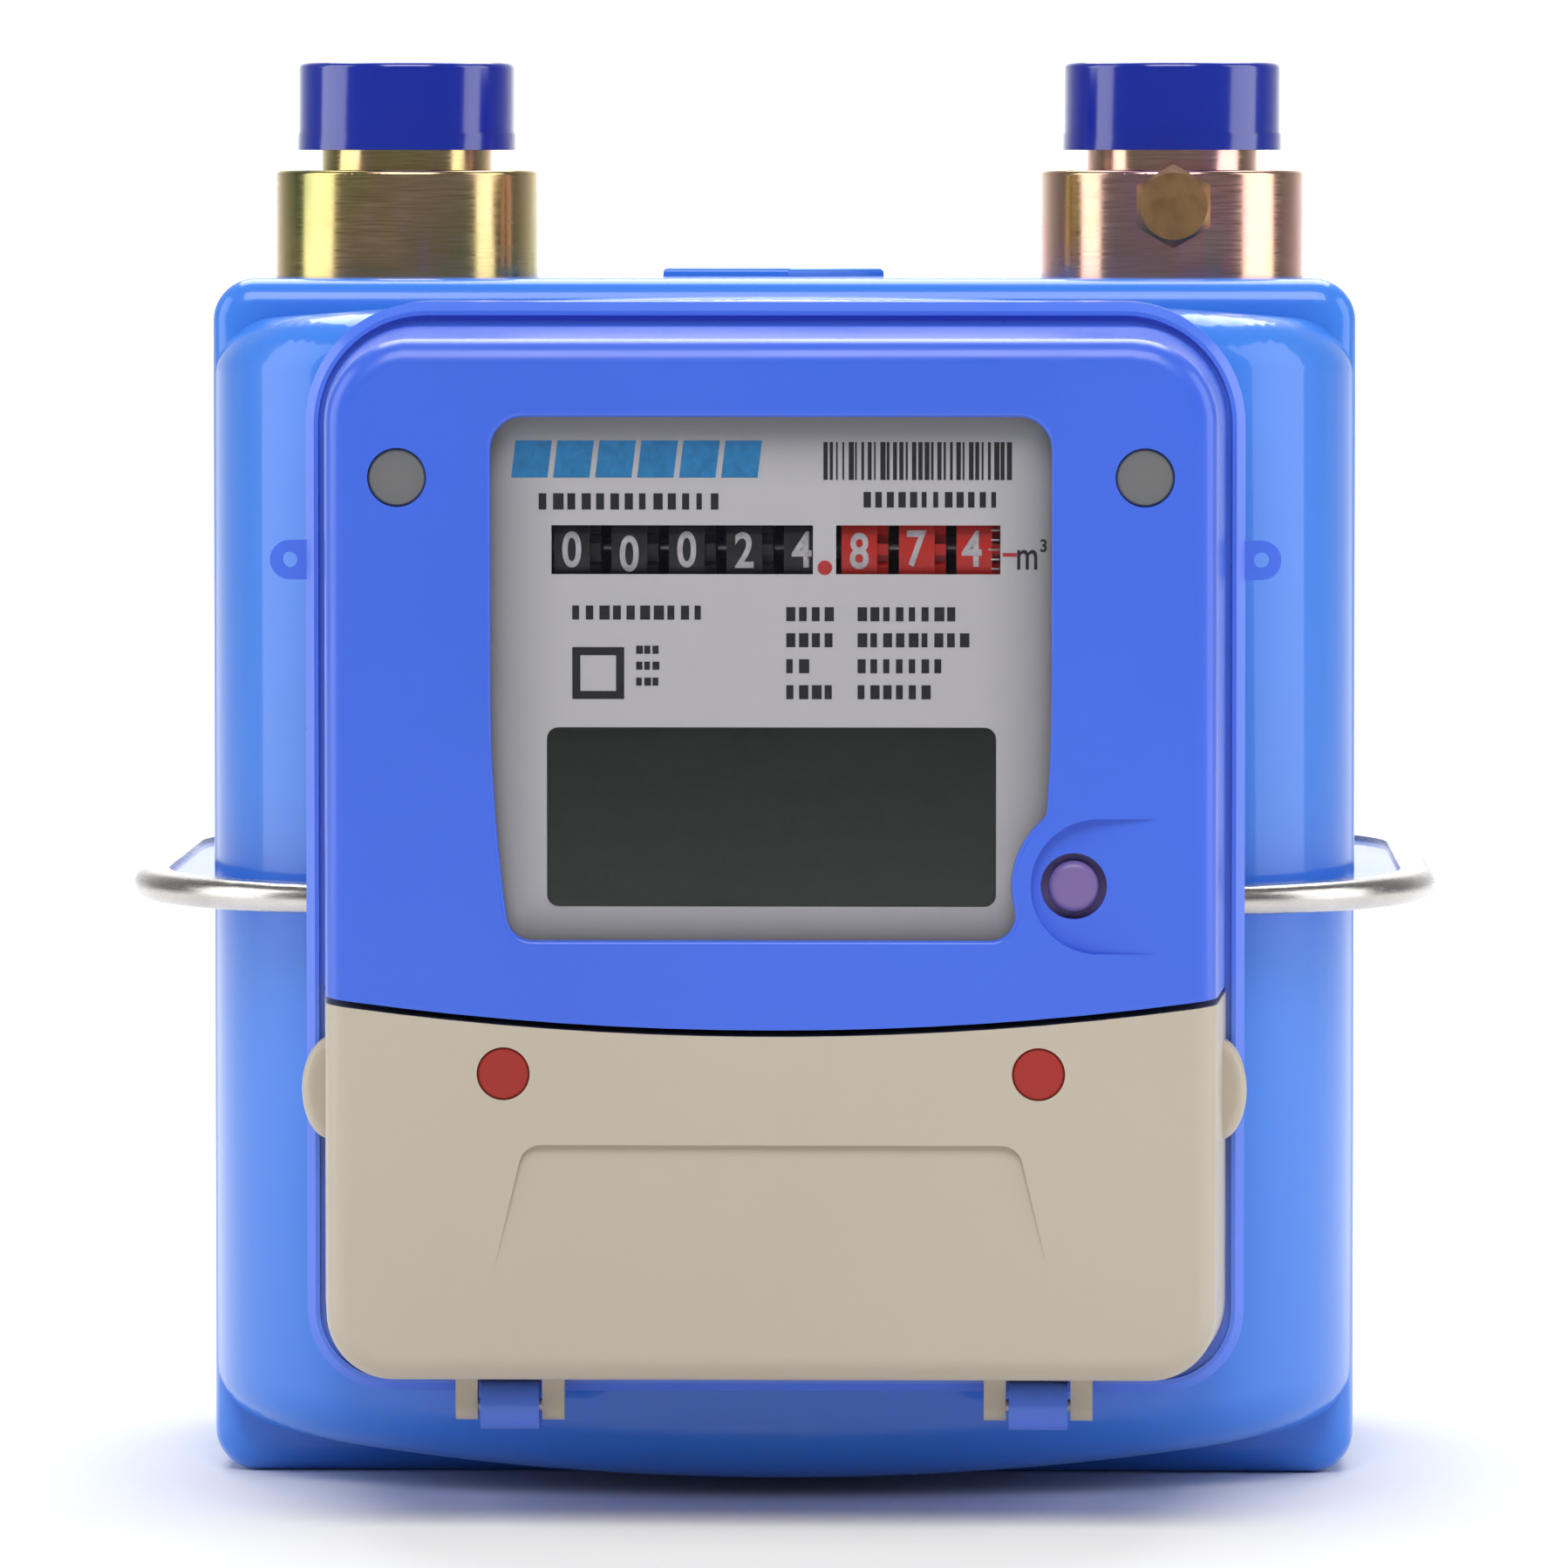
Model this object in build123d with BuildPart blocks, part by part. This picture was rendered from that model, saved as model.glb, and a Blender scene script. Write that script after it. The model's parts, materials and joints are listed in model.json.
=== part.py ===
"""Diaphragm gas meter with a mechanical counter, an electronic display and a hinged battery door.

Millimetres. X runs to the right, Y to the back and Z up. The origin lies on the flat bottom of the case,
midway between the two pipe connections, which stand at x = -55 and x = +55 in the plane y = 0.
"""
import os
from math import atan2, degrees, pi, sqrt

from build123d import *

os.makedirs("parts", exist_ok=True)

# --- Case: two drawn shells with flanges, closed by a stainless band -------------------------------------
CASE_HALF_WIDTH = 80.5
CASE_HALF_DEPTH = 72.0
CASE_CORNER_R = 32.0          # plan corners
CASE_BULGE_R = 160.0          # plan radius of the front and back faces
WALL = 1.0
CORE_HALF_DEPTH = 38.0        # the block that carries the deck and the flat bottom
CORE_TOP = 168.7
CORE_CORNER_R = 6.0
BELLY_TOP = (166.3, 163.3)    # height at the middle and at CROWN_X
BELLY_BOTTOM = (2.5, 7.0)
CROWN_X = 71.0
BELLY_FILLET = 8.0

SEAM_Z = 83.3
GASKET_T = 0.8
FLANGE_OUT = 10.6             # how far the flanges stand out of the case
BAND_OUT = 11.5
BAND_IN = 6.6
BAND_HALF_HEIGHT = 2.1
BAND_SLOT_HALF = GASKET_T / 2 + WALL
BAND_BUTT_GAP = 1.2

SEAT_HALF_WIDTH = 46.0        # drawn seat for the index on the front of the upper shell
SEAT_Z = (96.0, 150.0)
SEAT_Y = -84.5

# --- Pipe connections ------------------------------------------------------------------------------------
PORT_X = 55.0
COLLAR_R = 18.85
COLLAR_TOP = 183.9
NECK_R = 12.25
NECK_TOP = 186.8
THREAD_R = 13.22              # G 3/4 B
THREAD_TOP = 197.2
PORT_BORE_R = 10.0
SPIGOT_R = 13.0
SPIGOT_Z = 157.0
CAP_R = 15.55
CAP_LIP_R = 15.75
CAP_LIP_HEIGHT = 2.4
CAP_BORE_R = 13.6
CAP_TOP = 199.3
CAP_ROOF = 1.5

PLUG_Z = 178.8
PLUG_ACROSS_FLATS = 10.4
PLUG_FACE_R = 4.75
PLUG_SHANK_R = 3.0

# --- Index housing ---------------------------------------------------------------------------------------
TRAY_HALF_WIDTH = 64.1
TRAY_Z = (16.95, 165.95)
TRAY_R_TOP = 16.6
TRAY_R_BOTTOM = 11.3
TRAY_BACK_Y = -84.5
TRAY_FLOOR_Y = -86.5
TRAY_RIM_Y = -87.6
TRAY_SKIRT_Y = -62.0
TRAY_CLEARANCE = 0.8
TRAY_WALL = 1.8
EAR_X = 66.3
EAR_Z = 130.8
EAR_R = 2.7
EAR_HOLE_R = 1.05

COVER_HALF_WIDTH = 61.6
COVER_Z = (19.3, 162.9)
COVER_R_TOP = 13.2
COVER_R_BOTTOM = 10.6
COVER_FRONT_Y = -112.0
COVER_DRAFT = 4.0
COVER_EDGE_R = 3.5
COVER_WALL = 2.2
SPLIT_MID_Z = 68.4            # lower edge of the front cover in the middle and at its sides
SPLIT_SIDE_Z = 72.9
SPLIT_GAP = 0.9

WINDOW_HALF_WIDTH = 37.65
WINDOW_Z = (80.45, 150.8)
WINDOW_CORNER_R = 4.4
BUTTON_X, BUTTON_Z = 40.7, 87.8
BUTTON_R = 3.4
BUTTON_HOLE_R = 4.45
RECESS_X, RECESS_R = 44.0, 9.1
RECESS_END_X = 50.0
RECESS_DEPTH = 1.6
COVER_PLUG_X, COVER_PLUG_Z, COVER_PLUG_R = 50.2, 142.7, 3.87
DOOR_PLUG_X, DOOR_PLUG_Z, DOOR_PLUG_R = 36.0, 62.5, 3.5

HINGE_X = 36.0
HINGE_Y, HINGE_Z = -92.0, 15.6
LUG_HALF_WIDTH = 4.0
LUG_R = 3.3
FINGER_GAP = 0.4
FINGER_WIDTH = 3.0
FINGER_R = 2.0
HINGE_PIN_R = 0.9
DOOR_BACK_Y = -86.9
DOOR_WALL = 2.0
RUNNING_FIT = 0.06

LABEL_Y = -108.2
LABEL_T = 1.0
LCD_HALF_WIDTH = 30.25
LCD_Z = (84.8, 109.0)
COUNTER_Z = (129.6, 136.2)
BLACK_SLOT_X = (-29.6, 5.6)
RED_SLOT_X = (8.7, 30.8)

# --- Counter ---------------------------------------------------------------------------------------------
DRUM_NAMES = ["ten_thousands", "thousands", "hundreds", "tens", "units", "tenths", "hundredths", "thousandths"]
DRUM_PITCH = 7.74
DRUM_FIRST_X = -26.9
DRUM_R = 10.4
DRUM_TEETH_R = 9.6
DRUM_BAND_WIDTH = 4.8
DRUM_TEETH_WIDTH = 1.5
COUNTER_Y = -96.5
COUNTER_AXIS_Z = 132.9
COUNTER_SHAFT_R = 1.5
PINION_Y, PINION_Z = -92.3, 144.7
PINION_R = 2.6
FRAME_X = (-30.4, 31.6)
FRAME_T = 1.5
FRAME_Z = (121.0, 149.0)
DRUM_BAY_Z = (125.0, 141.0)   # opening behind the drums, which also sinks into the tray floor
DRUM_BAY_DEPTH = 1.2

# --- Measuring unit --------------------------------------------------------------------------------------
CHAMBER_HALF_WIDTH = 60.0
CHAMBER_Z = (10.0, 78.0)
CHAMBER_R = 20.0
CHAMBER_HALF_DEPTH = 26.0
CHAMBER_WALL = 2.5
DECK_TOP = 82.0
DIAPHRAGM_T = 0.8
DIAPHRAGM_TRAVEL_DEPTH = 14.5
FLAG_X, FLAG_Y = -50.0, 12.0
FLAG_R = 2.0
ARM_Z = 98.0
ARM_TIP = (-32.0, 14.0)
CRANK_X = -28.0
CRANK_THROW = 5.0
DRIVE_X = -36.0
DRIVE_Z = 122.3
DRIVE_R = 1.6
WORM_R = 2.9
DUCT_R = 9.6

# --- Batteries -------------------------------------------------------------------------------------------
CELL_R = 7.1
CELL_LENGTH = 48.5
CELL_Z = (33.0, 49.0)
CELL_Y = -97.5
CELL_X = 26.5


def front_plane(y):
    """Plane facing the front at depth y: its x is X, its y is Z, and extrusions run towards -Y."""
    return Plane(origin=(0, y, 0), x_dir=(1, 0, 0), z_dir=(0, -1, 0))


def side_plane(x):
    """Plane facing +X at x: its x is Y and its y is Z, and extrusions run towards +X."""
    return Plane(origin=(x, 0, 0), x_dir=(0, 1, 0), z_dir=(1, 0, 0))


def case_plan(grow):
    """Outline of the case seen from above, grown outwards by grow: bulged faces with tangent corners."""
    corner_x = CASE_HALF_WIDTH - CASE_CORNER_R
    bulge_y = CASE_BULGE_R - CASE_HALF_DEPTH
    corner_y = sqrt((CASE_BULGE_R - CASE_CORNER_R) ** 2 - corner_x**2) - bulge_y
    lean = degrees(atan2(corner_x, bulge_y + corner_y))
    bulge_r = CASE_BULGE_R + grow
    corner_r = CASE_CORNER_R + grow
    side_x = corner_x + corner_r
    with BuildSketch() as plan:
        with BuildLine():
            CenterArc((0, bulge_y), bulge_r, 270, lean)
            CenterArc((corner_x, -corner_y), corner_r, 270 + lean, 90 - lean)
            Line((side_x, -corner_y), (side_x, corner_y))
            CenterArc((corner_x, corner_y), corner_r, 0, 90 - lean)
            CenterArc((0, -bulge_y), bulge_r, 90 - lean, lean)
            mirror(about=Plane.YZ)
        make_face()
    return plan.sketch


def case_form(inset):
    """The whole closed case as one solid, shrunk on every side by inset."""
    width = CASE_HALF_WIDTH - inset
    depth = CASE_HALF_DEPTH - inset
    top_mid, top_side = (z - inset for z in BELLY_TOP)
    low_mid, low_side = (z + inset for z in BELLY_BOTTOM)
    reach = CROWN_X + BELLY_FILLET * 2
    side_drop = (top_mid - top_side) * (reach / CROWN_X) ** 2
    side_rise = (low_side - low_mid) * (reach / CROWN_X) ** 2
    with BuildPart() as belly:
        with BuildSketch():
            add(case_plan(-inset))
        extrude(amount=CORE_TOP)
        with BuildSketch(front_plane(depth * 2)):
            with BuildLine():
                ThreePointArc((-reach, top_mid - side_drop), (0, top_mid), (reach, top_mid - side_drop))
                Line((reach, top_mid - side_drop), (reach, low_mid + side_rise))
                ThreePointArc((reach, low_mid + side_rise), (0, low_mid), (-reach, low_mid + side_rise))
                Line((-reach, low_mid + side_rise), (-reach, top_mid - side_drop))
            make_face()
        extrude(amount=depth * 4, mode=Mode.INTERSECT)
        rims = belly.faces().sort_by(Axis.Z)
        fillet(rims[-1].edges() + rims[0].edges(), radius=BELLY_FILLET - inset)
    with BuildPart() as core:
        with BuildSketch(front_plane(CORE_HALF_DEPTH - inset)):
            with Locations((0, CORE_TOP / 2)):
                RectangleRounded(width * 2, CORE_TOP - inset * 2, CORE_CORNER_R - inset)
        extrude(amount=(CORE_HALF_DEPTH - inset) * 2)
        ends = core.faces().sort_by(Axis.Y)
        fillet(ends[0].edges() + ends[-1].edges(), radius=CORE_CORNER_R - 2 - inset)
    with BuildPart() as seat:
        seat_height = SEAT_Z[1] - SEAT_Z[0] - inset * 2
        with BuildSketch(front_plane(-CORE_HALF_DEPTH)):
            with Locations((0, sum(SEAT_Z) / 2)):
                RectangleRounded((SEAT_HALF_WIDTH - inset) * 2, seat_height, CORE_CORNER_R - inset)
        extrude(amount=-SEAT_Y - CORE_HALF_DEPTH - inset)
        fillet(seat.faces().sort_by(Axis.Y)[0].edges(), radius=CORE_CORNER_R / 2 - inset)
    with BuildPart() as form:
        add(belly.part)
        add(core.part)
        add(seat.part)
    return form.part


def block(low, high):
    """Plain block between two opposite corners."""
    size = [b - a for a, b in zip(low, high)]
    middle = [(a + b) / 2 for a, b in zip(low, high)]
    return Pos(*middle) * Box(*size, mode=Mode.PRIVATE)


def framed_outline(half_width, z_range, r_top, r_bottom):
    """Upright rectangle with one radius at its two top corners and another at its two bottom corners."""
    with BuildSketch() as outline:
        with Locations((0, sum(z_range) / 2)):
            Rectangle(half_width * 2, z_range[1] - z_range[0])
        corners = outline.vertices().group_by(Axis.Y)
        fillet(corners[-1], radius=r_top)
        fillet(outline.vertices().group_by(Axis.Y)[0], radius=r_bottom)
    return outline.sketch


def housing_form(inset):
    """Drafted block shared by the front cover and the battery door, shrunk on its outer faces by inset."""
    z_range = (COVER_Z[0] + inset, COVER_Z[1] - inset)
    with BuildPart() as form:
        with BuildSketch(front_plane(TRAY_FLOOR_Y)):
            add(framed_outline(COVER_HALF_WIDTH - inset, z_range, COVER_R_TOP - inset, COVER_R_BOTTOM - inset))
        extrude(amount=TRAY_FLOOR_Y - COVER_FRONT_Y - inset, taper=COVER_DRAFT)
        fillet(form.faces().sort_by(Axis.Y)[0].edges(), radius=COVER_EDGE_R - inset)
    return form.part


def below_split(drop):
    """Everything under the curved line that parts the cover from the door, lowered by drop."""
    reach = COVER_HALF_WIDTH + 10
    bow = (SPLIT_SIDE_Z - SPLIT_MID_Z) * (reach / COVER_HALF_WIDTH) ** 2
    side_z = SPLIT_MID_Z + bow - drop
    with BuildPart() as block:
        with BuildSketch(front_plane(TRAY_FLOOR_Y + 10)):
            with BuildLine():
                ThreePointArc((-reach, side_z), (0, SPLIT_MID_Z - drop), (reach, side_z))
                Polyline((reach, side_z), (reach, -10), (-reach, -10), (-reach, side_z))
            make_face()
        extrude(amount=TRAY_FLOOR_Y - COVER_FRONT_Y + 20)
    return block.part


def window_outline():
    """Opening of the front cover: sides that draw in low down, and a bay cut round the button recess."""
    z_low, z_high = WINDOW_Z
    bend_z = 112.0
    side_x = WINDOW_HALF_WIDTH
    with BuildSketch() as outline:
        with BuildLine():
            Line((-side_x, z_high), (side_x, z_high))
            Line((side_x, z_high), (side_x, bend_z))
            ThreePointArc((side_x, bend_z), (side_x - 0.6, 98.0), (side_x - 2.6, z_low))
            Line((side_x - 2.6, z_low), (2.6 - side_x, z_low))
            ThreePointArc((2.6 - side_x, z_low), (0.6 - side_x, 98.0), (-side_x, bend_z))
            Line((-side_x, bend_z), (-side_x, z_high))
        make_face()
        with Locations((RECESS_X, BUTTON_Z)):
            Circle(RECESS_R + 2.6, mode=Mode.SUBTRACT)
        top = outline.vertices().group_by(Axis.Y)[-1]
        fillet(top, radius=WINDOW_CORNER_R)
        low = outline.vertices().group_by(Axis.Y)[0]
        fillet(low, radius=3.4)
        bay_top = outline.vertices().sort_by_distance((36.9, 97.4, 0))[0]
        fillet(bay_top, radius=2.0)
    return outline.sketch


def front_discs(points, radius, y):
    """Discs facing the front at depth y, one at each (x, z) point."""
    with BuildSketch(front_plane(y)) as discs:
        with Locations(*points):
            Circle(radius)
    return discs.sketch


def both_sides(x, z):
    """A point and its mirror image across the middle plane."""
    return [(-x, z), (x, z)]


# =========================================================================================================
# Case
# =========================================================================================================
case_outer = case_form(0)
case_inner = case_form(WALL)
FLANGE_BASE_Z = SEAM_Z + GASKET_T / 2
TRAY_SCREWS = [(x, z) for x in (-38, 38) for z in (104, 142)]

with BuildPart() as upper_case:
    add(case_outer)
    with BuildSketch(Plane.XY.offset(FLANGE_BASE_Z)):
        add(case_plan(FLANGE_OUT))
    extrude(amount=WALL)
    add(case_inner, mode=Mode.SUBTRACT)
    split(bisect_by=Plane.XY.offset(FLANGE_BASE_Z), keep=Keep.TOP)
    with BuildSketch(Plane.XY.offset(SPIGOT_Z)):
        with Locations((-PORT_X, 0), (PORT_X, 0)):
            Circle(SPIGOT_R)
    extrude(amount=20, mode=Mode.SUBTRACT)
    extrude(front_discs(TRAY_SCREWS, 2.2, SEAT_Y + 5), amount=10, mode=Mode.SUBTRACT)
    extrude(front_discs([(DRIVE_X, DRIVE_Z)], 5.0, SEAT_Y + 5), amount=10, mode=Mode.SUBTRACT)
    # Embossed flow arrow, pointing from the inlet to the outlet
    with BuildSketch(Plane.XY.offset(CORE_TOP - 0.2)):
        Rectangle(18, 7, align=(Align.MAX, Align.CENTER))
        with BuildLine():
            Polyline((0, -9), (13.6, 0), (0, 9), (0, -9))
        make_face()
        with Locations((-4, 0)):
            Rectangle(9.6, 7, align=(Align.MAX, Align.CENTER))
    extrude(amount=1.4)
    arrow_rim = upper_case.faces().sort_by(Axis.Z)[-1].edges()
    fillet(arrow_rim, radius=0.7)
upper_case.part.label = "upper_case"
export_step(upper_case.part, "parts/upper_case.step")

LOWER_FLANGE_Z = SEAM_Z - GASKET_T / 2
with BuildPart() as lower_case:
    add(case_outer)
    with BuildSketch(Plane.XY.offset(LOWER_FLANGE_Z - WALL)):
        add(case_plan(FLANGE_OUT))
    extrude(amount=WALL)
    add(case_inner, mode=Mode.SUBTRACT)
    split(bisect_by=Plane.XY.offset(LOWER_FLANGE_Z), keep=Keep.BOTTOM)
lower_case.part.label = "lower_case"
export_step(lower_case.part, "parts/lower_case.step")

with BuildPart() as flange_gasket:
    with BuildSketch(Plane.XY.offset(LOWER_FLANGE_Z)):
        add(case_plan(FLANGE_OUT - 0.2))
        add(case_plan(-WALL), mode=Mode.SUBTRACT)
    extrude(amount=GASKET_T)
flange_gasket.part.label = "flange_gasket"
export_step(flange_gasket.part, "parts/flange_gasket.step")

with BuildPart() as clamp_band:
    with BuildSketch(Plane.XY.offset(SEAM_Z - BAND_HALF_HEIGHT)):
        add(case_plan(BAND_OUT))
        add(case_plan(BAND_IN), mode=Mode.SUBTRACT)
    extrude(amount=BAND_HALF_HEIGHT * 2)
    rims = clamp_band.faces().filter_by(Axis.Z)
    outer_edges = [face.outer_wire().edges() for face in rims]
    fillet([edge for wire in outer_edges for edge in wire], radius=BAND_HALF_HEIGHT - 0.15)
    with BuildSketch(Plane.XY.offset(SEAM_Z - BAND_SLOT_HALF)):
        add(case_plan(FLANGE_OUT))
        add(case_plan(BAND_IN - 1), mode=Mode.SUBTRACT)
    extrude(amount=BAND_SLOT_HALF * 2, mode=Mode.SUBTRACT)
    # The two ends of the rolled strip butt at the middle of the back
    with Locations((0, CASE_HALF_DEPTH + BAND_IN, SEAM_Z)):
        Box(BAND_BUTT_GAP, BAND_OUT, 10, mode=Mode.SUBTRACT)
clamp_band.part.label = "clamp_band"
export_step(clamp_band.part, "parts/clamp_band.step")

# =========================================================================================================
# Pipe connections, thread caps and test plug
# =========================================================================================================


def connection(x):
    """Turned steel connection: spigot in the deck, collar, neck and parallel pipe thread."""
    deck_top = CORE_TOP
    with BuildPart() as body:
        with BuildSketch(Plane.XZ):
            with BuildLine():
                Polyline(
                    (PORT_BORE_R, SPIGOT_Z), (SPIGOT_R, SPIGOT_Z), (SPIGOT_R, deck_top), (COLLAR_R, deck_top),
                    (COLLAR_R, COLLAR_TOP), (NECK_R, COLLAR_TOP), (NECK_R, NECK_TOP), (THREAD_R, NECK_TOP),
                    (THREAD_R, THREAD_TOP), (PORT_BORE_R, THREAD_TOP), (PORT_BORE_R, SPIGOT_Z),
                )
            make_face()
        revolve(axis=Axis.Z)
        chamfer(body.edges().filter_by(GeomType.CIRCLE).group_by(Axis.Z)[-1].sort_by(SortBy.RADIUS)[-1:], 1.0)
        collar_rim = body.edges().filter_by(GeomType.CIRCLE).filter_by(
            lambda edge: abs(edge.radius - COLLAR_R) < 0.01
        )
        fillet(collar_rim.sort_by(Axis.Z)[-1:], radius=0.7)
    return Pos(x, 0, 0) * body.part


with BuildPart() as inlet_connection:
    add(connection(-PORT_X))
inlet_connection.part.label = "inlet_connection"
export_step(inlet_connection.part, "parts/inlet_connection.step")

with BuildPart() as outlet_connection:
    add(connection(PORT_X))
    plug_hole = front_discs([(PORT_X, PLUG_Z)], PLUG_SHANK_R, -PORT_BORE_R + 1.5)
    extrude(plug_hole, amount=COLLAR_R, mode=Mode.SUBTRACT)
outlet_connection.part.label = "outlet_connection"
export_step(outlet_connection.part, "parts/outlet_connection.step")

with BuildPart() as connection_seals:
    with BuildSketch(Plane.XY.offset(CORE_TOP - WALL - 1.6)):
        with Locations((-PORT_X, 0), (PORT_X, 0)):
            Circle(SPIGOT_R + 2.4)
            Circle(SPIGOT_R, mode=Mode.SUBTRACT)
    extrude(amount=1.6)
connection_seals.part.label = "connection_seals"
export_step(connection_seals.part, "parts/connection_seals.step")

with BuildPart() as thread_cap:
    with BuildSketch(Plane.XY.offset(NECK_TOP)):
        Circle(CAP_LIP_R)
    extrude(amount=CAP_LIP_HEIGHT)
    with BuildSketch(Plane.XY.offset(NECK_TOP)):
        Circle(CAP_R)
    extrude(amount=CAP_TOP - NECK_TOP)
    with BuildSketch(Plane.XY.offset(NECK_TOP)):
        Circle(CAP_BORE_R)
    extrude(amount=CAP_TOP - CAP_ROOF - NECK_TOP, mode=Mode.SUBTRACT)
    fillet(thread_cap.edges().group_by(Axis.Z)[-1], radius=0.8)

for cap_name, cap_x in (("inlet_cap", -PORT_X), ("outlet_cap", PORT_X)):
    placed_cap = Pos(cap_x, 0, 0) * thread_cap.part
    placed_cap.label = cap_name
    export_step(placed_cap, f"parts/{cap_name}.step")

PLUG_SEAT_Y = -COLLAR_R - 0.8
with BuildPart() as test_plug:
    with BuildSketch(front_plane(PLUG_SEAT_Y)):
        with Locations((PORT_X, PLUG_Z)):
            RegularPolygon(PLUG_ACROSS_FLATS / 2, 6, major_radius=False, rotation=30)
    extrude(amount=4.6)
    with BuildSketch(front_plane(PLUG_SEAT_Y)):
        with Locations((PORT_X, PLUG_Z)):
            Circle(PLUG_FACE_R + 1.6)
    extrude(amount=4.6, taper=19, mode=Mode.INTERSECT)
    shank = front_discs([(PORT_X, PLUG_Z)], PLUG_SHANK_R, -PORT_BORE_R)
    extrude(shank, amount=-PLUG_SEAT_Y - PORT_BORE_R)
test_plug.part.label = "test_plug"
export_step(test_plug.part, "parts/test_plug.step")

with BuildPart() as test_plug_washer:
    with BuildSketch(front_plane(-COLLAR_R + 0.75)):
        with Locations((PORT_X, PLUG_Z)):
            Circle(PLUG_ACROSS_FLATS / 2)
            Circle(PLUG_SHANK_R, mode=Mode.SUBTRACT)
    extrude(amount=-PLUG_SEAT_Y - COLLAR_R + 0.75)
    add(connection(PORT_X), mode=Mode.SUBTRACT)
test_plug_washer.part.label = "test_plug_washer"
export_step(test_plug_washer.part, "parts/test_plug_washer.step")

# =========================================================================================================
# Index housing: tray, cover, window, label and display
# =========================================================================================================
COVER_POSTS = both_sides(COVER_PLUG_X, COVER_PLUG_Z)
DOOR_POSTS = both_sides(DOOR_PLUG_X, DOOR_PLUG_Z)
BOARD_POSTS = [(x, z) for x in (-42, 46) for z in (79.5, 115)]
BOARD_Y = -104.2
BOARD_T = 1.6
COVER_POST_Y = -103.8
tray_inner = framed_outline(
    TRAY_HALF_WIDTH - TRAY_WALL,
    (TRAY_Z[0] + TRAY_WALL, TRAY_Z[1] - TRAY_WALL),
    TRAY_R_TOP - TRAY_WALL,
    TRAY_R_BOTTOM - TRAY_WALL,
)

with BuildPart() as index_tray:
    with BuildSketch(front_plane(TRAY_SKIRT_Y)):
        add(framed_outline(TRAY_HALF_WIDTH, TRAY_Z, TRAY_R_TOP, TRAY_R_BOTTOM))
    extrude(amount=TRAY_SKIRT_Y - TRAY_RIM_Y)
    rim = index_tray.faces().sort_by(Axis.Y)[0]
    chamfer(rim.edges(), length=1.2)
    with BuildSketch(front_plane(TRAY_SKIRT_Y)):
        add(tray_inner)
    extrude(amount=TRAY_SKIRT_Y - TRAY_BACK_Y, mode=Mode.SUBTRACT)
    with BuildSketch(front_plane(TRAY_FLOOR_Y)):
        add(tray_inner)
    extrude(amount=5, mode=Mode.SUBTRACT)
    # The skirt follows the case and leaves room for the clamp band
    with BuildSketch():
        add(case_plan(TRAY_CLEARANCE))
    extrude(amount=CORE_TOP, mode=Mode.SUBTRACT)
    with BuildSketch(Plane.XY.offset(SEAM_Z - BAND_HALF_HEIGHT - TRAY_CLEARANCE)):
        add(case_plan(BAND_OUT + TRAY_CLEARANCE))
    extrude(amount=(BAND_HALF_HEIGHT + TRAY_CLEARANCE) * 2, mode=Mode.SUBTRACT)
    # Seal-wire ears
    with BuildSketch(front_plane(TRAY_BACK_Y)):
        for side in (-1, 1):
            with Locations((side * EAR_X, EAR_Z)):
                Circle(EAR_R)
            with Locations((side * (EAR_X - 1.6), EAR_Z)):
                Rectangle(3.2, EAR_R * 2)
    extrude(amount=TRAY_BACK_Y - TRAY_FLOOR_Y)
    extrude(front_discs(both_sides(EAR_X, EAR_Z), EAR_HOLE_R, -80), amount=10, mode=Mode.SUBTRACT)
    # Posts for the cover screws, the circuit board and the door screws
    extrude(front_discs(COVER_POSTS, 4.0, TRAY_FLOOR_Y), amount=TRAY_FLOOR_Y - COVER_POST_Y)
    extrude(front_discs(DOOR_POSTS, 3.5, TRAY_FLOOR_Y), amount=10.5)
    extrude(front_discs(BOARD_POSTS, 2.5, TRAY_FLOOR_Y), amount=TRAY_FLOOR_Y - BOARD_Y - BOARD_T)
    extrude(front_discs(COVER_POSTS, 1.45, TRAY_FLOOR_Y), amount=20, mode=Mode.SUBTRACT)
    extrude(front_discs(TRAY_SCREWS, 2.2, -80), amount=10, mode=Mode.SUBTRACT)
    extrude(front_discs([(DRIVE_X, DRIVE_Z)], 5.2, -80), amount=10, mode=Mode.SUBTRACT)
    bay_low = (FRAME_X[0], TRAY_FLOOR_Y - 1, DRUM_BAY_Z[0])
    add(block(bay_low, (FRAME_X[1], TRAY_FLOOR_Y + DRUM_BAY_DEPTH, DRUM_BAY_Z[1])), mode=Mode.SUBTRACT)
    # Hinge lugs under the lower edge
    for x in (-HINGE_X, HINGE_X):
        with BuildSketch(side_plane(x - LUG_HALF_WIDTH)):
            with Locations((HINGE_Y, HINGE_Z)):
                Circle(LUG_R)
            with Locations((HINGE_Y, HINGE_Z)):
                Rectangle(7.5, LUG_R * 2, align=(Align.MIN, Align.CENTER))
        extrude(amount=LUG_HALF_WIDTH * 2)
        with BuildSketch(side_plane(x - LUG_HALF_WIDTH)):
            with Locations((HINGE_Y, HINGE_Z)):
                Circle(HINGE_PIN_R + RUNNING_FIT)
        extrude(amount=LUG_HALF_WIDTH * 2, mode=Mode.SUBTRACT)
index_tray.part.label = "index_tray"
export_step(index_tray.part, "parts/index_tray.step")

housing_outer = housing_form(0)
with BuildPart() as cover_hollow:
    add(housing_form(COVER_WALL))
    add(below_split(-COVER_WALL), mode=Mode.SUBTRACT)

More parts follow.
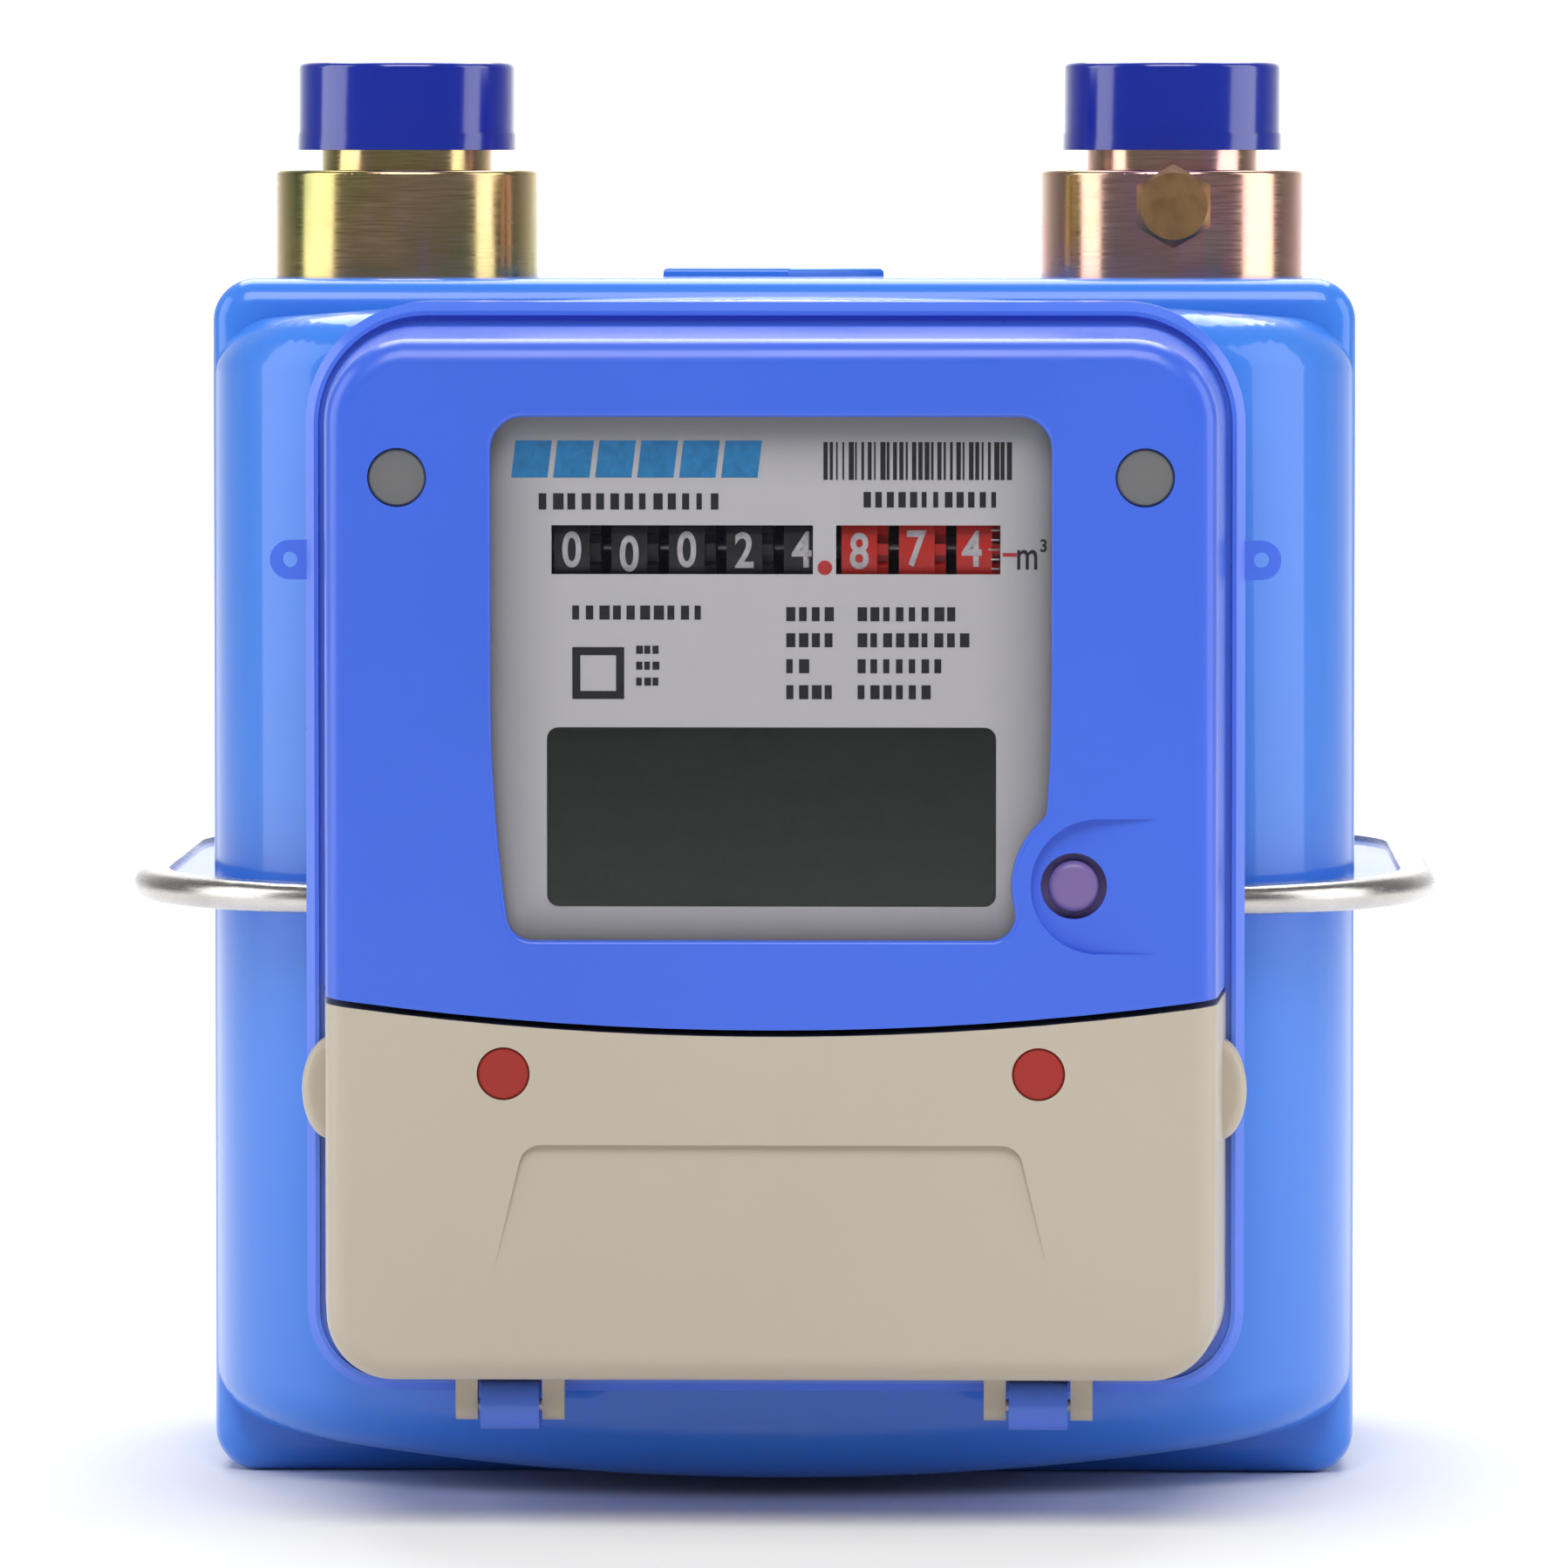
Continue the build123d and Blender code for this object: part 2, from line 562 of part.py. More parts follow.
with BuildPart() as button_recess:
    with BuildSketch(front_plane(COVER_FRONT_Y + RECESS_DEPTH)):
        with Locations((RECESS_X, BUTTON_Z)):
            Circle(RECESS_R)
            Rectangle(RECESS_END_X - RECESS_X + 4, RECESS_R * 2, align=(Align.MIN, Align.CENTER))
    extrude(amount=RECESS_DEPTH + 1)
    # The floor rises to the right until it meets the face of the cover
    with BuildSketch(Plane.XY):
        with BuildLine():
            Polyline(
                (RECESS_X - RECESS_R - 1, COVER_FRONT_Y - 2),
                (RECESS_X - RECESS_R - 1, COVER_FRONT_Y + RECESS_DEPTH),
                (BUTTON_X, COVER_FRONT_Y + RECESS_DEPTH),
                (RECESS_END_X + 2, COVER_FRONT_Y),
                (RECESS_END_X + 2, COVER_FRONT_Y - 2),
                (RECESS_X - RECESS_R - 1, COVER_FRONT_Y - 2),
            )
        make_face()
    extrude(amount=CORE_TOP, mode=Mode.INTERSECT)

with BuildPart() as front_cover:
    add(housing_outer)
    add(below_split(0), mode=Mode.SUBTRACT)
    add(cover_hollow.part, mode=Mode.SUBTRACT)
    extrude(front_discs(COVER_POSTS, 5.6, COVER_POST_Y), amount=COVER_POST_Y - COVER_FRONT_Y - 1)
    extrude(front_discs([(BUTTON_X, BUTTON_Z)], 6.2, -108.4), amount=2)
    with BuildSketch(front_plane(COVER_FRONT_Y + 10)):
        add(window_outline())
    extrude(amount=20, mode=Mode.SUBTRACT)
    opening = front_cover.faces().sort_by(Axis.Y)[0].inner_wires()[0]
    fillet(opening.edges(), radius=0.6)
    add(button_recess.part, mode=Mode.SUBTRACT)
    extrude(front_discs([(BUTTON_X, BUTTON_Z)], BUTTON_HOLE_R, -105), amount=10, mode=Mode.SUBTRACT)
    plug_pockets = front_discs(COVER_POSTS, COVER_PLUG_R + 0.1, COVER_POST_Y - 1.4)
    extrude(plug_pockets, amount=10, mode=Mode.SUBTRACT)
    extrude(front_discs(COVER_POSTS, 1.7, -100), amount=10, mode=Mode.SUBTRACT)
front_cover.part.label = "front_cover"
export_step(front_cover.part, "parts/front_cover.step")

with BuildPart() as window:
    with BuildSketch(front_plane(COVER_FRONT_Y + COVER_WALL + 1)):
        add(window_outline())
        offset(amount=1.6)
    extrude(amount=1)
    with BuildSketch(front_plane(COVER_FRONT_Y + COVER_WALL)):
        add(window_outline())
        offset(amount=-0.12)
    extrude(amount=1.4)
window.part.label = "window"
export_step(window.part, "parts/window.step")

with BuildPart() as label_plate:
    with BuildSketch(front_plane(LABEL_Y + LABEL_T)):
        add(window_outline())
        offset(amount=1.2)
        for slot_x in (BLACK_SLOT_X, RED_SLOT_X):
            with Locations((sum(slot_x) / 2, sum(COUNTER_Z) / 2)):
                Rectangle(slot_x[1] - slot_x[0], COUNTER_Z[1] - COUNTER_Z[0], mode=Mode.SUBTRACT)
        with Locations((0, sum(LCD_Z) / 2)):
            RectangleRounded(LCD_HALF_WIDTH * 2, LCD_Z[1] - LCD_Z[0], 1.6, mode=Mode.SUBTRACT)
    extrude(amount=LABEL_T)
label_plate.part.label = "label_plate"
export_step(label_plate.part, "parts/label_plate.step")

with BuildPart() as lcd_module:
    with BuildSketch(front_plane(BOARD_Y - 0.1)):
        with Locations((0, sum(LCD_Z) / 2)):
            RectangleRounded(LCD_HALF_WIDTH * 2 + 2.5, LCD_Z[1] - LCD_Z[0] + 2.5, 1.0)
    extrude(amount=BOARD_Y - LABEL_Y - LABEL_T - 0.1)
lcd_module.part.label = "lcd_module"
export_step(lcd_module.part, "parts/lcd_module.step")

with BuildPart() as circuit_board:
    with BuildSketch(front_plane(BOARD_Y + BOARD_T)):
        with Locations((2.5, 97.5)):
            RectangleRounded(97, 41, 2.0)
    extrude(amount=BOARD_T)
    # Push switch behind the button, and the processor and radio packages on the back
    switch_y = BOARD_Y - 1.2
    add(block((BUTTON_X - 2, switch_y, BUTTON_Z - 2), (BUTTON_X + 2, BOARD_Y, BUTTON_Z + 2)))
    add(block((-20, BOARD_Y + BOARD_T, 90), (-8, BOARD_Y + BOARD_T + 1.4, 102)))
    add(block((6, BOARD_Y + BOARD_T, 86), (26, BOARD_Y + BOARD_T + 2.2, 104)))
circuit_board.part.label = "circuit_board"
export_step(circuit_board.part, "parts/circuit_board.step")

BUTTON_FLANGE_Y = -107.3
with BuildPart() as push_button:
    button_centre = [(BUTTON_X, BUTTON_Z)]
    extrude(front_discs(button_centre, BUTTON_R, BUTTON_FLANGE_Y), amount=3.9)
    fillet(push_button.edges().group_by(Axis.Y)[0], radius=1.1)
    extrude(front_discs(button_centre, 5.2, BUTTON_FLANGE_Y), amount=0.75)
    extrude(front_discs(button_centre, 1.5, BUTTON_FLANGE_Y + 0.4), amount=1)
push_button.part.label = "push_button"
export_step(push_button.part, "parts/push_button.step")

SPRING_WIRE_R = 0.22
SPRING_SEAT_Y = BOARD_Y - SPRING_WIRE_R - 0.08
spring_height = SPRING_SEAT_Y - BUTTON_FLANGE_Y - 0.6
spring_seat = (BUTTON_X, SPRING_SEAT_Y, BUTTON_Z)
with BuildLine() as coil:
    Helix(pitch=0.8, height=spring_height, radius=4.3, center=spring_seat, direction=(0, -1, 0))
with BuildPart() as button_spring:
    with BuildSketch(Plane(origin=coil.line @ 0, z_dir=coil.line % 0)):
        Circle(SPRING_WIRE_R)
    sweep(path=coil.line, is_frenet=True)
button_spring.part.label = "button_spring"
export_step(button_spring.part, "parts/button_spring.step")


def pan_head_screw(x, z, head_y, head_r, head_h, shank_r, length):
    """Cross-head screw whose head rests on depth head_y and whose shank runs towards +Y."""
    with BuildPart() as screw:
        with BuildSketch(front_plane(head_y)):
            Circle(head_r)
        extrude(amount=head_h)
        fillet(screw.edges().group_by(Axis.Y)[0], radius=head_h * 0.4)
        with BuildSketch(front_plane(head_y)):
            Circle(shank_r)
        extrude(amount=-length)
        with BuildSketch(front_plane(head_y - head_h)):
            Rectangle(head_r * 1.1, head_r * 0.25)
            Rectangle(head_r * 0.25, head_r * 1.1)
        extrude(amount=-head_h * 0.5, mode=Mode.SUBTRACT)
    return Pos(x, 0, z) * screw.part


def disc_plug(x, z, front_y, radius, depth):
    """Round seal plug pressed into a pocket: a shallow cup whose face stands at depth front_y."""
    with BuildPart() as plug:
        with BuildSketch(front_plane(front_y + depth)):
            Circle(radius)
        extrude(amount=depth)
        chamfer(plug.edges().group_by(Axis.Y)[0], 0.25)
        with BuildSketch(front_plane(front_y + depth)):
            Circle(radius - 0.8)
        extrude(amount=depth - 1, mode=Mode.SUBTRACT)
    return Pos(x, 0, z) * plug.part


with BuildPart() as cover_screws:
    for x, z in COVER_POSTS:
        add(pan_head_screw(x, z, COVER_POST_Y - 1.4, 2.9, 2.0, 1.4, 12))
cover_screws.part.label = "cover_screws"
export_step(cover_screws.part, "parts/cover_screws.step")

with BuildPart() as cover_seal_plugs:
    for x, z in COVER_POSTS:
        add(disc_plug(x, z, COVER_FRONT_Y + 0.5, COVER_PLUG_R, 2.6))
cover_seal_plugs.part.label = "cover_seal_plugs"
export_step(cover_seal_plugs.part, "parts/cover_seal_plugs.step")

with BuildPart() as tray_screws:
    for x, z in TRAY_SCREWS:
        add(pan_head_screw(x, z, TRAY_FLOOR_Y, 3.6, 2.4, 1.95, 11))
tray_screws.part.label = "tray_screws"
export_step(tray_screws.part, "parts/tray_screws.step")

with BuildPart() as seat_nuts:
    with BuildSketch(front_plane(SEAT_Y + WALL + 3.2)):
        for x, z in TRAY_SCREWS:
            with Locations((x, z)):
                RegularPolygon(3.5, 6, major_radius=False)
                Circle(1.98, mode=Mode.SUBTRACT)
    extrude(amount=3.2)
seat_nuts.part.label = "seat_nuts"
export_step(seat_nuts.part, "parts/seat_nuts.step")

# =========================================================================================================
# Battery door and battery bay
# =========================================================================================================
PANEL_HALF_WIDTH = 33.3
PANEL_TOP_Z = 52.9
PANEL_END_Z = 36.0
PANEL_DEPTH = 0.9

with BuildPart() as door_hollow:
    add(housing_form(DOOR_WALL))
    add(below_split(SPLIT_GAP + DOOR_WALL), mode=Mode.INTERSECT)

with BuildPart() as door_panel:
    with BuildSketch(front_plane(COVER_FRONT_Y + PANEL_DEPTH)) as panel_face:
        with BuildLine():
            Polyline(
                (-PANEL_HALF_WIDTH, PANEL_TOP_Z), (PANEL_HALF_WIDTH, PANEL_TOP_Z),
                (PANEL_HALF_WIDTH + 4, PANEL_END_Z), (-PANEL_HALF_WIDTH - 4, PANEL_END_Z),
                (-PANEL_HALF_WIDTH, PANEL_TOP_Z),
            )
        make_face()
        fillet(panel_face.vertices().group_by(Axis.Y)[-1], radius=3.0)
    extrude(amount=PANEL_DEPTH + 1)
    # The panel is deepest at its top edge and runs out to nothing lower down
    with BuildSketch(side_plane(-PANEL_HALF_WIDTH - 10)):
        with BuildLine():
            Polyline(
                (COVER_FRONT_Y - 1, PANEL_TOP_Z + 1), (COVER_FRONT_Y + PANEL_DEPTH, PANEL_TOP_Z + 1),
                (COVER_FRONT_Y, PANEL_END_Z), (COVER_FRONT_Y - 1, PANEL_END_Z),
                (COVER_FRONT_Y - 1, PANEL_TOP_Z + 1),
            )
        make_face()
    extrude(amount=PANEL_HALF_WIDTH * 3, mode=Mode.INTERSECT)

GRIP_X = COVER_HALF_WIDTH - 1.2
GRIP_Z = 59.0


def finger_grip(x):
    """Rounded half-ellipse lobe on the side of the door, solid only outside the door's hollow."""
    with BuildPart() as grip:
        with BuildSketch(front_plane(TRAY_RIM_Y - 0.5)):
            with Locations((x, GRIP_Z)):
                Ellipse(3.9, 6.9)
        extrude(amount=7.0)
        fillet(grip.edges().group_by(Axis.Y)[0], radius=1.6)
        add(door_hollow.part, mode=Mode.SUBTRACT)
    return grip.part


with BuildPart() as battery_door:
    add(housing_outer)
    add(below_split(SPLIT_GAP), mode=Mode.INTERSECT)
    add(door_hollow.part, mode=Mode.SUBTRACT)
    add(block((-80, DOOR_BACK_Y, 0), (80, 0, 100)), mode=Mode.SUBTRACT)
    add(door_panel.part, mode=Mode.SUBTRACT)
    extrude(front_discs(DOOR_POSTS, 5.0, -104), amount=6.5)
    extrude(front_discs(DOOR_POSTS, DOOR_PLUG_R + 0.08, -105.4), amount=10, mode=Mode.SUBTRACT)
    extrude(front_discs(DOOR_POSTS, 1.7, -100), amount=10, mode=Mode.SUBTRACT)
    for grip_x in (-GRIP_X, GRIP_X):
        add(finger_grip(grip_x))
    # Hinge fingers either side of each lug
    for x in (-HINGE_X, HINGE_X):
        for start in (x - LUG_HALF_WIDTH - FINGER_GAP - FINGER_WIDTH, x + LUG_HALF_WIDTH + FINGER_GAP):
            with BuildSketch(side_plane(start)):
                with Locations((HINGE_Y, HINGE_Z)):
                    Circle(FINGER_R)
                    Rectangle(FINGER_R * 2, 4.6, align=(Align.CENTER, Align.MIN))
                    Circle(HINGE_PIN_R, mode=Mode.SUBTRACT)
            extrude(amount=FINGER_WIDTH)
battery_door.part.label = "battery_door"
export_step(battery_door.part, "parts/battery_door.step")

with BuildPart() as hinge_pins:
    for x in (-HINGE_X, HINGE_X):
        pin_half = LUG_HALF_WIDTH + FINGER_GAP + FINGER_WIDTH
        with BuildSketch(side_plane(x - pin_half)):
            with Locations((HINGE_Y, HINGE_Z)):
                Circle(HINGE_PIN_R)
        extrude(amount=pin_half * 2)
hinge_pins.part.label = "hinge_pins"
export_step(hinge_pins.part, "parts/hinge_pins.step")

with BuildPart() as door_screws:
    for x, z in DOOR_POSTS:
        add(pan_head_screw(x, z, -105.4, 2.9, 2.0, 1.5, 6))
door_screws.part.label = "door_screws"
export_step(door_screws.part, "parts/door_screws.step")

with BuildPart() as door_seal_plugs:
    for x, z in DOOR_POSTS:
        add(disc_plug(x, z, COVER_FRONT_Y + 0.25, DOOR_PLUG_R, 2.6))
door_seal_plugs.part.label = "door_seal_plugs"
export_step(door_seal_plugs.part, "parts/door_seal_plugs.step")

HOLDER_X, HOLDER_Z = 54.0, (23.5, 58.4)
with BuildPart() as battery_holder:
    add(block((-HOLDER_X, -97.5, HOLDER_Z[0]), (HOLDER_X, TRAY_FLOOR_Y, HOLDER_Z[1])))
    for low_x, high_x in ((-52.5, -0.7), (0.7, 52.5)):
        add(block((low_x, -99, 25.3), (high_x, -89.5, 56.7)), mode=Mode.SUBTRACT)
    holder_rim = battery_holder.edges().filter_by(Axis.Y).group_by(Axis.X)
    fillet(holder_rim[0] + holder_rim[-1], radius=1.2)
battery_holder.part.label = "battery_holder"
export_step(battery_holder.part, "parts/battery_holder.step")

with BuildPart() as battery_cells:
    for row, z in enumerate(CELL_Z):
        for x in (-CELL_X, CELL_X):
            nub_side = 1 if row else -1
            with BuildSketch(side_plane(x - CELL_LENGTH / 2)):
                with Locations((CELL_Y, z)):
                    Circle(CELL_R)
            extrude(amount=CELL_LENGTH)
            with BuildSketch(side_plane(x + nub_side * CELL_LENGTH / 2)):
                with Locations((CELL_Y, z)):
                    Circle(2.7)
            extrude(amount=nub_side * 0.8)
    cell_rims = battery_cells.edges().filter_by(GeomType.CIRCLE).filter_by(
        lambda edge: abs(edge.radius - CELL_R) < 0.01
    )
    fillet(cell_rims, radius=0.6)
battery_cells.part.label = "battery_cells"
export_step(battery_cells.part, "parts/battery_cells.step")

with BuildPart() as battery_contacts:
    for z in CELL_Z:
        for wall_x, side in ((-52.5, 1), (-0.7, -1), (0.7, 1), (52.5, -1)):
            with BuildSketch(side_plane(wall_x)):
                with Locations((CELL_Y, z)):
                    RectangleRounded(9, 11, 1.5)
            extrude(amount=side * 0.5)
battery_contacts.part.label = "battery_contacts"
export_step(battery_contacts.part, "parts/battery_contacts.step")

# =========================================================================================================
# Counter
# =========================================================================================================
FRAME_BACK_Y = -88.0
with BuildPart() as counter_frame:
    add(block((FRAME_X[0], FRAME_BACK_Y, FRAME_Z[0]), (FRAME_X[1], TRAY_FLOOR_Y, FRAME_Z[1])))
    add(block((FRAME_X[0], -90, DRUM_BAY_Z[0]), (FRAME_X[1], -80, DRUM_BAY_Z[1])), mode=Mode.SUBTRACT)
    for plate_x in (FRAME_X[0] - FRAME_T, FRAME_X[1]):
        with BuildSketch(side_plane(plate_x)) as plate:
            with Locations(((COUNTER_Y + TRAY_FLOOR_Y) / 2 - 2.5, sum(FRAME_Z) / 2)):
                RectangleRounded(TRAY_FLOOR_Y - COUNTER_Y + 5, FRAME_Z[1] - FRAME_Z[0], 1.5)
            with Locations((COUNTER_Y, COUNTER_AXIS_Z)):
                Circle(COUNTER_SHAFT_R + RUNNING_FIT, mode=Mode.SUBTRACT)
            with Locations((PINION_Y, PINION_Z)):
                Circle(1.0, mode=Mode.SUBTRACT)
        extrude(amount=FRAME_T)
counter_frame.part.label = "counter_frame"
export_step(counter_frame.part, "parts/counter_frame.step")


def toothed_disc(x, y, z, tip_r, root_r, teeth, width, bore_r):
    """Spur wheel on an axis along +X, starting at x."""
    tooth_width = pi * tip_r / teeth
    with BuildPart() as wheel:
        with BuildSketch(side_plane(x)):
            with Locations((y, z)):
                Circle(root_r)
                with PolarLocations(root_r - 0.4, teeth):
                    Rectangle(tip_r - root_r + 0.4, tooth_width, align=(Align.MIN, Align.CENTER))
                Circle(bore_r, mode=Mode.SUBTRACT)
        extrude(amount=width)
    return wheel.part


def number_drum(x, bore_r):
    """Digit band with a carry wheel on its right, centred on x."""
    start = x - DRUM_BAND_WIDTH / 2
    carry_start = start + DRUM_BAND_WIDTH
    carry = toothed_disc(
        carry_start, COUNTER_Y, COUNTER_AXIS_Z, DRUM_TEETH_R, DRUM_TEETH_R - 1.6, 20, DRUM_TEETH_WIDTH, bore_r
    )
    with BuildPart() as drum:
        with BuildSketch(side_plane(start)):
            with Locations((COUNTER_Y, COUNTER_AXIS_Z)):
                Circle(DRUM_R)
                Circle(bore_r, mode=Mode.SUBTRACT)
        extrude(amount=DRUM_BAND_WIDTH)
        with BuildSketch(side_plane(start)):
            with Locations((COUNTER_Y, COUNTER_AXIS_Z)):
                Circle(DRUM_R - 1.4)
                Circle(bore_r + 1.6, mode=Mode.SUBTRACT)
        extrude(amount=DRUM_BAND_WIDTH - 1.4, mode=Mode.SUBTRACT)
        add(carry)
    return drum.part


for index, place in enumerate(DRUM_NAMES):
    fast = index == len(DRUM_NAMES) - 1
    drum_x = DRUM_FIRST_X + index * DRUM_PITCH
    drum = number_drum(drum_x, COUNTER_SHAFT_R if fast else COUNTER_SHAFT_R + RUNNING_FIT)
    drum.label = f"drum_{place}"
    export_step(drum, f"parts/drum_{place}.step")

WHEEL_R = 7.0
with BuildPart() as counter_shaft:
    with BuildSketch(side_plane(DRIVE_X - 2.2)):
        with Locations((COUNTER_Y, COUNTER_AXIS_Z)):
            Circle(COUNTER_SHAFT_R)
    extrude(amount=FRAME_X[1] + FRAME_T + 0.8 - DRIVE_X + 2.2)
    wheel_start = DRIVE_X - 1.8
    add(toothed_disc(wheel_start, COUNTER_Y, COUNTER_AXIS_Z, WHEEL_R, WHEEL_R - 1.2, 22, 3.0, COUNTER_SHAFT_R))
counter_shaft.part.label = "counter_shaft"
export_step(counter_shaft.part, "parts/counter_shaft.step")

with BuildPart() as transfer_pinions:
    with BuildSketch(side_plane(FRAME_X[0] - FRAME_T)):
        with Locations((PINION_Y, PINION_Z)):
            Circle(1.0)
    extrude(amount=FRAME_X[1] - FRAME_X[0] + FRAME_T * 2)
    for index in range(len(DRUM_NAMES) - 1):
        pinion_x = DRUM_FIRST_X + index * DRUM_PITCH + DRUM_BAND_WIDTH / 2
        add(toothed_disc(pinion_x, PINION_Y, PINION_Z, PINION_R, PINION_R - 0.9, 8, 2.6, 1.0))
transfer_pinions.part.label = "transfer_pinions"
export_step(transfer_pinions.part, "parts/transfer_pinions.step")

# =========================================================================================================
# Drive from the measuring unit to the counter
# =========================================================================================================
DRIVE_POINT = [(DRIVE_X, DRIVE_Z)]
SEAT_INNER_Y = SEAT_Y + WALL
BRACKET_Y = 24.0
DOG_Y = -88.6

with BuildPart() as index_gland:
    extrude(front_discs(DRIVE_POINT, 5.0, SEAT_INNER_Y), amount=SEAT_INNER_Y - TRAY_FLOOR_Y)
    extrude(front_discs(DRIVE_POINT, 7.0, SEAT_INNER_Y + 2.5), amount=2.5)
    extrude(front_discs(DRIVE_POINT, DRIVE_R + RUNNING_FIT, -70), amount=30, mode=Mode.SUBTRACT)
index_gland.part.label = "index_gland"
export_step(index_gland.part, "parts/index_gland.step")

DRIVE_WHEEL_R = CRANK_X - DRIVE_X - WORM_R - 0.4
with BuildPart() as index_drive_shaft:
    extrude(front_discs(DRIVE_POINT, DRIVE_R, BRACKET_Y + 3), amount=BRACKET_Y + 3 - DOG_Y)
    with BuildSketch(front_plane(2)):
        with Locations((DRIVE_X, DRIVE_Z)):
            Circle(DRIVE_WHEEL_R - 1)
            with PolarLocations(DRIVE_WHEEL_R - 1.4, 14):
                Rectangle(1.4, 1.0, align=(Align.MIN, Align.CENTER))
    extrude(amount=4)
index_drive_shaft.part.label = "index_drive_shaft"
export_step(index_drive_shaft.part, "parts/index_drive_shaft.step")

COUNTER_WORM_R = COUNTER_AXIS_Z - DRIVE_Z - WHEEL_R - 0.4
with BuildPart() as index_worm:
    extrude(front_discs(DRIVE_POINT, DRIVE_R + 1.6, DOG_Y + 1.6), amount=3)
    extrude(front_discs(DRIVE_POINT, DRIVE_R, DOG_Y - 1), amount=14)
    for turn in range(7):
        extrude(front_discs(DRIVE_POINT, COUNTER_WORM_R, -91.6 - turn * 1.5), amount=0.8)
    extrude(front_discs(DRIVE_POINT, DRIVE_R, DOG_Y + 4), amount=4, mode=Mode.SUBTRACT)
index_worm.part.label = "index_worm"
export_step(index_worm.part, "parts/index_worm.step")

# =========================================================================================================
# Measuring unit: chambers, diaphragms, flags, valves and crank
# =========================================================================================================
UNIT_MID_Z = sum(CHAMBER_Z) / 2
UNIT_HEIGHT = CHAMBER_Z[1] - CHAMBER_Z[0]
ROD_POINTS = [(FLAG_X, -FLAG_Y), (FLAG_X, FLAG_Y)]
ROD_FOOT_Z = 16.5


def chamber_section(y, inset):
    """Rounded section of the measuring chambers on a front plane at y, drawn in by inset."""
    with BuildSketch(front_plane(y)) as section:
        with Locations((0, UNIT_MID_Z)):
            RectangleRounded((CHAMBER_HALF_WIDTH - inset) * 2, UNIT_HEIGHT - inset * 2, CHAMBER_R - inset)
    return section.sketch


def chamber_ring(y, outer_inset, inner_inset, thickness):
    """Rounded ring between two insets, from y towards -Y."""
    with BuildPart() as ring:
        extrude(chamber_section(y, outer_inset), amount=thickness)
        extrude(chamber_section(y, inner_inset), amount=thickness, mode=Mode.SUBTRACT)
    return ring.part


with BuildPart() as chamber_body:
    add(chamber_ring(CHAMBER_HALF_DEPTH, 0, CHAMBER_WALL, CHAMBER_HALF_DEPTH * 2))
    extrude(chamber_section(1.5, 0), amount=3)
    add(block((-CHAMBER_HALF_WIDTH, -30, CHAMBER_Z[1]), (CHAMBER_HALF_WIDTH + 6, 30, DECK_TOP)))
    with BuildSketch(Plane.XY.offset(70)):
        with Locations(*ROD_POINTS):
            Circle(4)
    extrude(amount=DECK_TOP - 70 + 1)
    with BuildSketch(Plane.XY.offset(CHAMBER_Z[0] + 3)):
        with Locations(*ROD_POINTS):
            Circle(4)
    extrude(amount=7)
    with BuildSketch(Plane.XY.offset(ROD_FOOT_Z)):
        with Locations(*ROD_POINTS):
            Circle(FLAG_R + RUNNING_FIT)
    extrude(amount=80, mode=Mode.SUBTRACT)
    add(block((47, -7, 70), (59, 7, DECK_TOP + 1)), mode=Mode.SUBTRACT)
chamber_body.part.label = "chamber_body"
export_step(chamber_body.part, "parts/chamber_body.step")

CHAMBER_COVER_T = 1.5
COVER_START_Y = -CHAMBER_HALF_DEPTH - DIAPHRAGM_T
with BuildPart() as chamber_cover:
    extrude(chamber_section(COVER_START_Y, 0), amount=DIAPHRAGM_TRAVEL_DEPTH)
    fillet(chamber_cover.faces().sort_by(Axis.Y)[0].edges(), radius=5)
    hollow_depth = DIAPHRAGM_TRAVEL_DEPTH - CHAMBER_COVER_T
    extrude(chamber_section(COVER_START_Y, CHAMBER_WALL), amount=hollow_depth, mode=Mode.SUBTRACT)
with BuildPart() as chamber_covers:
    add(chamber_cover.part)
    add(chamber_cover.part.mirror(Plane.XZ))
chamber_covers.part.label = "chamber_covers"
export_step(chamber_covers.part, "parts/chamber_covers.step")

# Each diaphragm: clamped rim, one slack roll, and an inner band that lies on the plate
ROLL_OUT, ROLL_IN, ROLL_DEPTH, DIAPHRAGM_EYE = 7.0, 17.0, 6.0, 24.0
RIM_Y = -CHAMBER_HALF_DEPTH
with BuildPart() as diaphragm:
    add(chamber_ring(RIM_Y, 0, ROLL_OUT + DIAPHRAGM_T, DIAPHRAGM_T))
    add(chamber_ring(RIM_Y, ROLL_OUT, ROLL_OUT + DIAPHRAGM_T, ROLL_DEPTH))
    add(chamber_ring(RIM_Y - ROLL_DEPTH + DIAPHRAGM_T, ROLL_OUT, ROLL_IN, DIAPHRAGM_T))
    add(chamber_ring(RIM_Y, ROLL_IN - DIAPHRAGM_T, ROLL_IN, ROLL_DEPTH))
    add(chamber_ring(RIM_Y, ROLL_IN - DIAPHRAGM_T, DIAPHRAGM_EYE - 4.5, DIAPHRAGM_T))
with BuildPart() as diaphragms:
    add(diaphragm.part)
    add(diaphragm.part.mirror(Plane.XZ))
diaphragms.part.label = "diaphragms"
export_step(diaphragms.part, "parts/diaphragms.step")

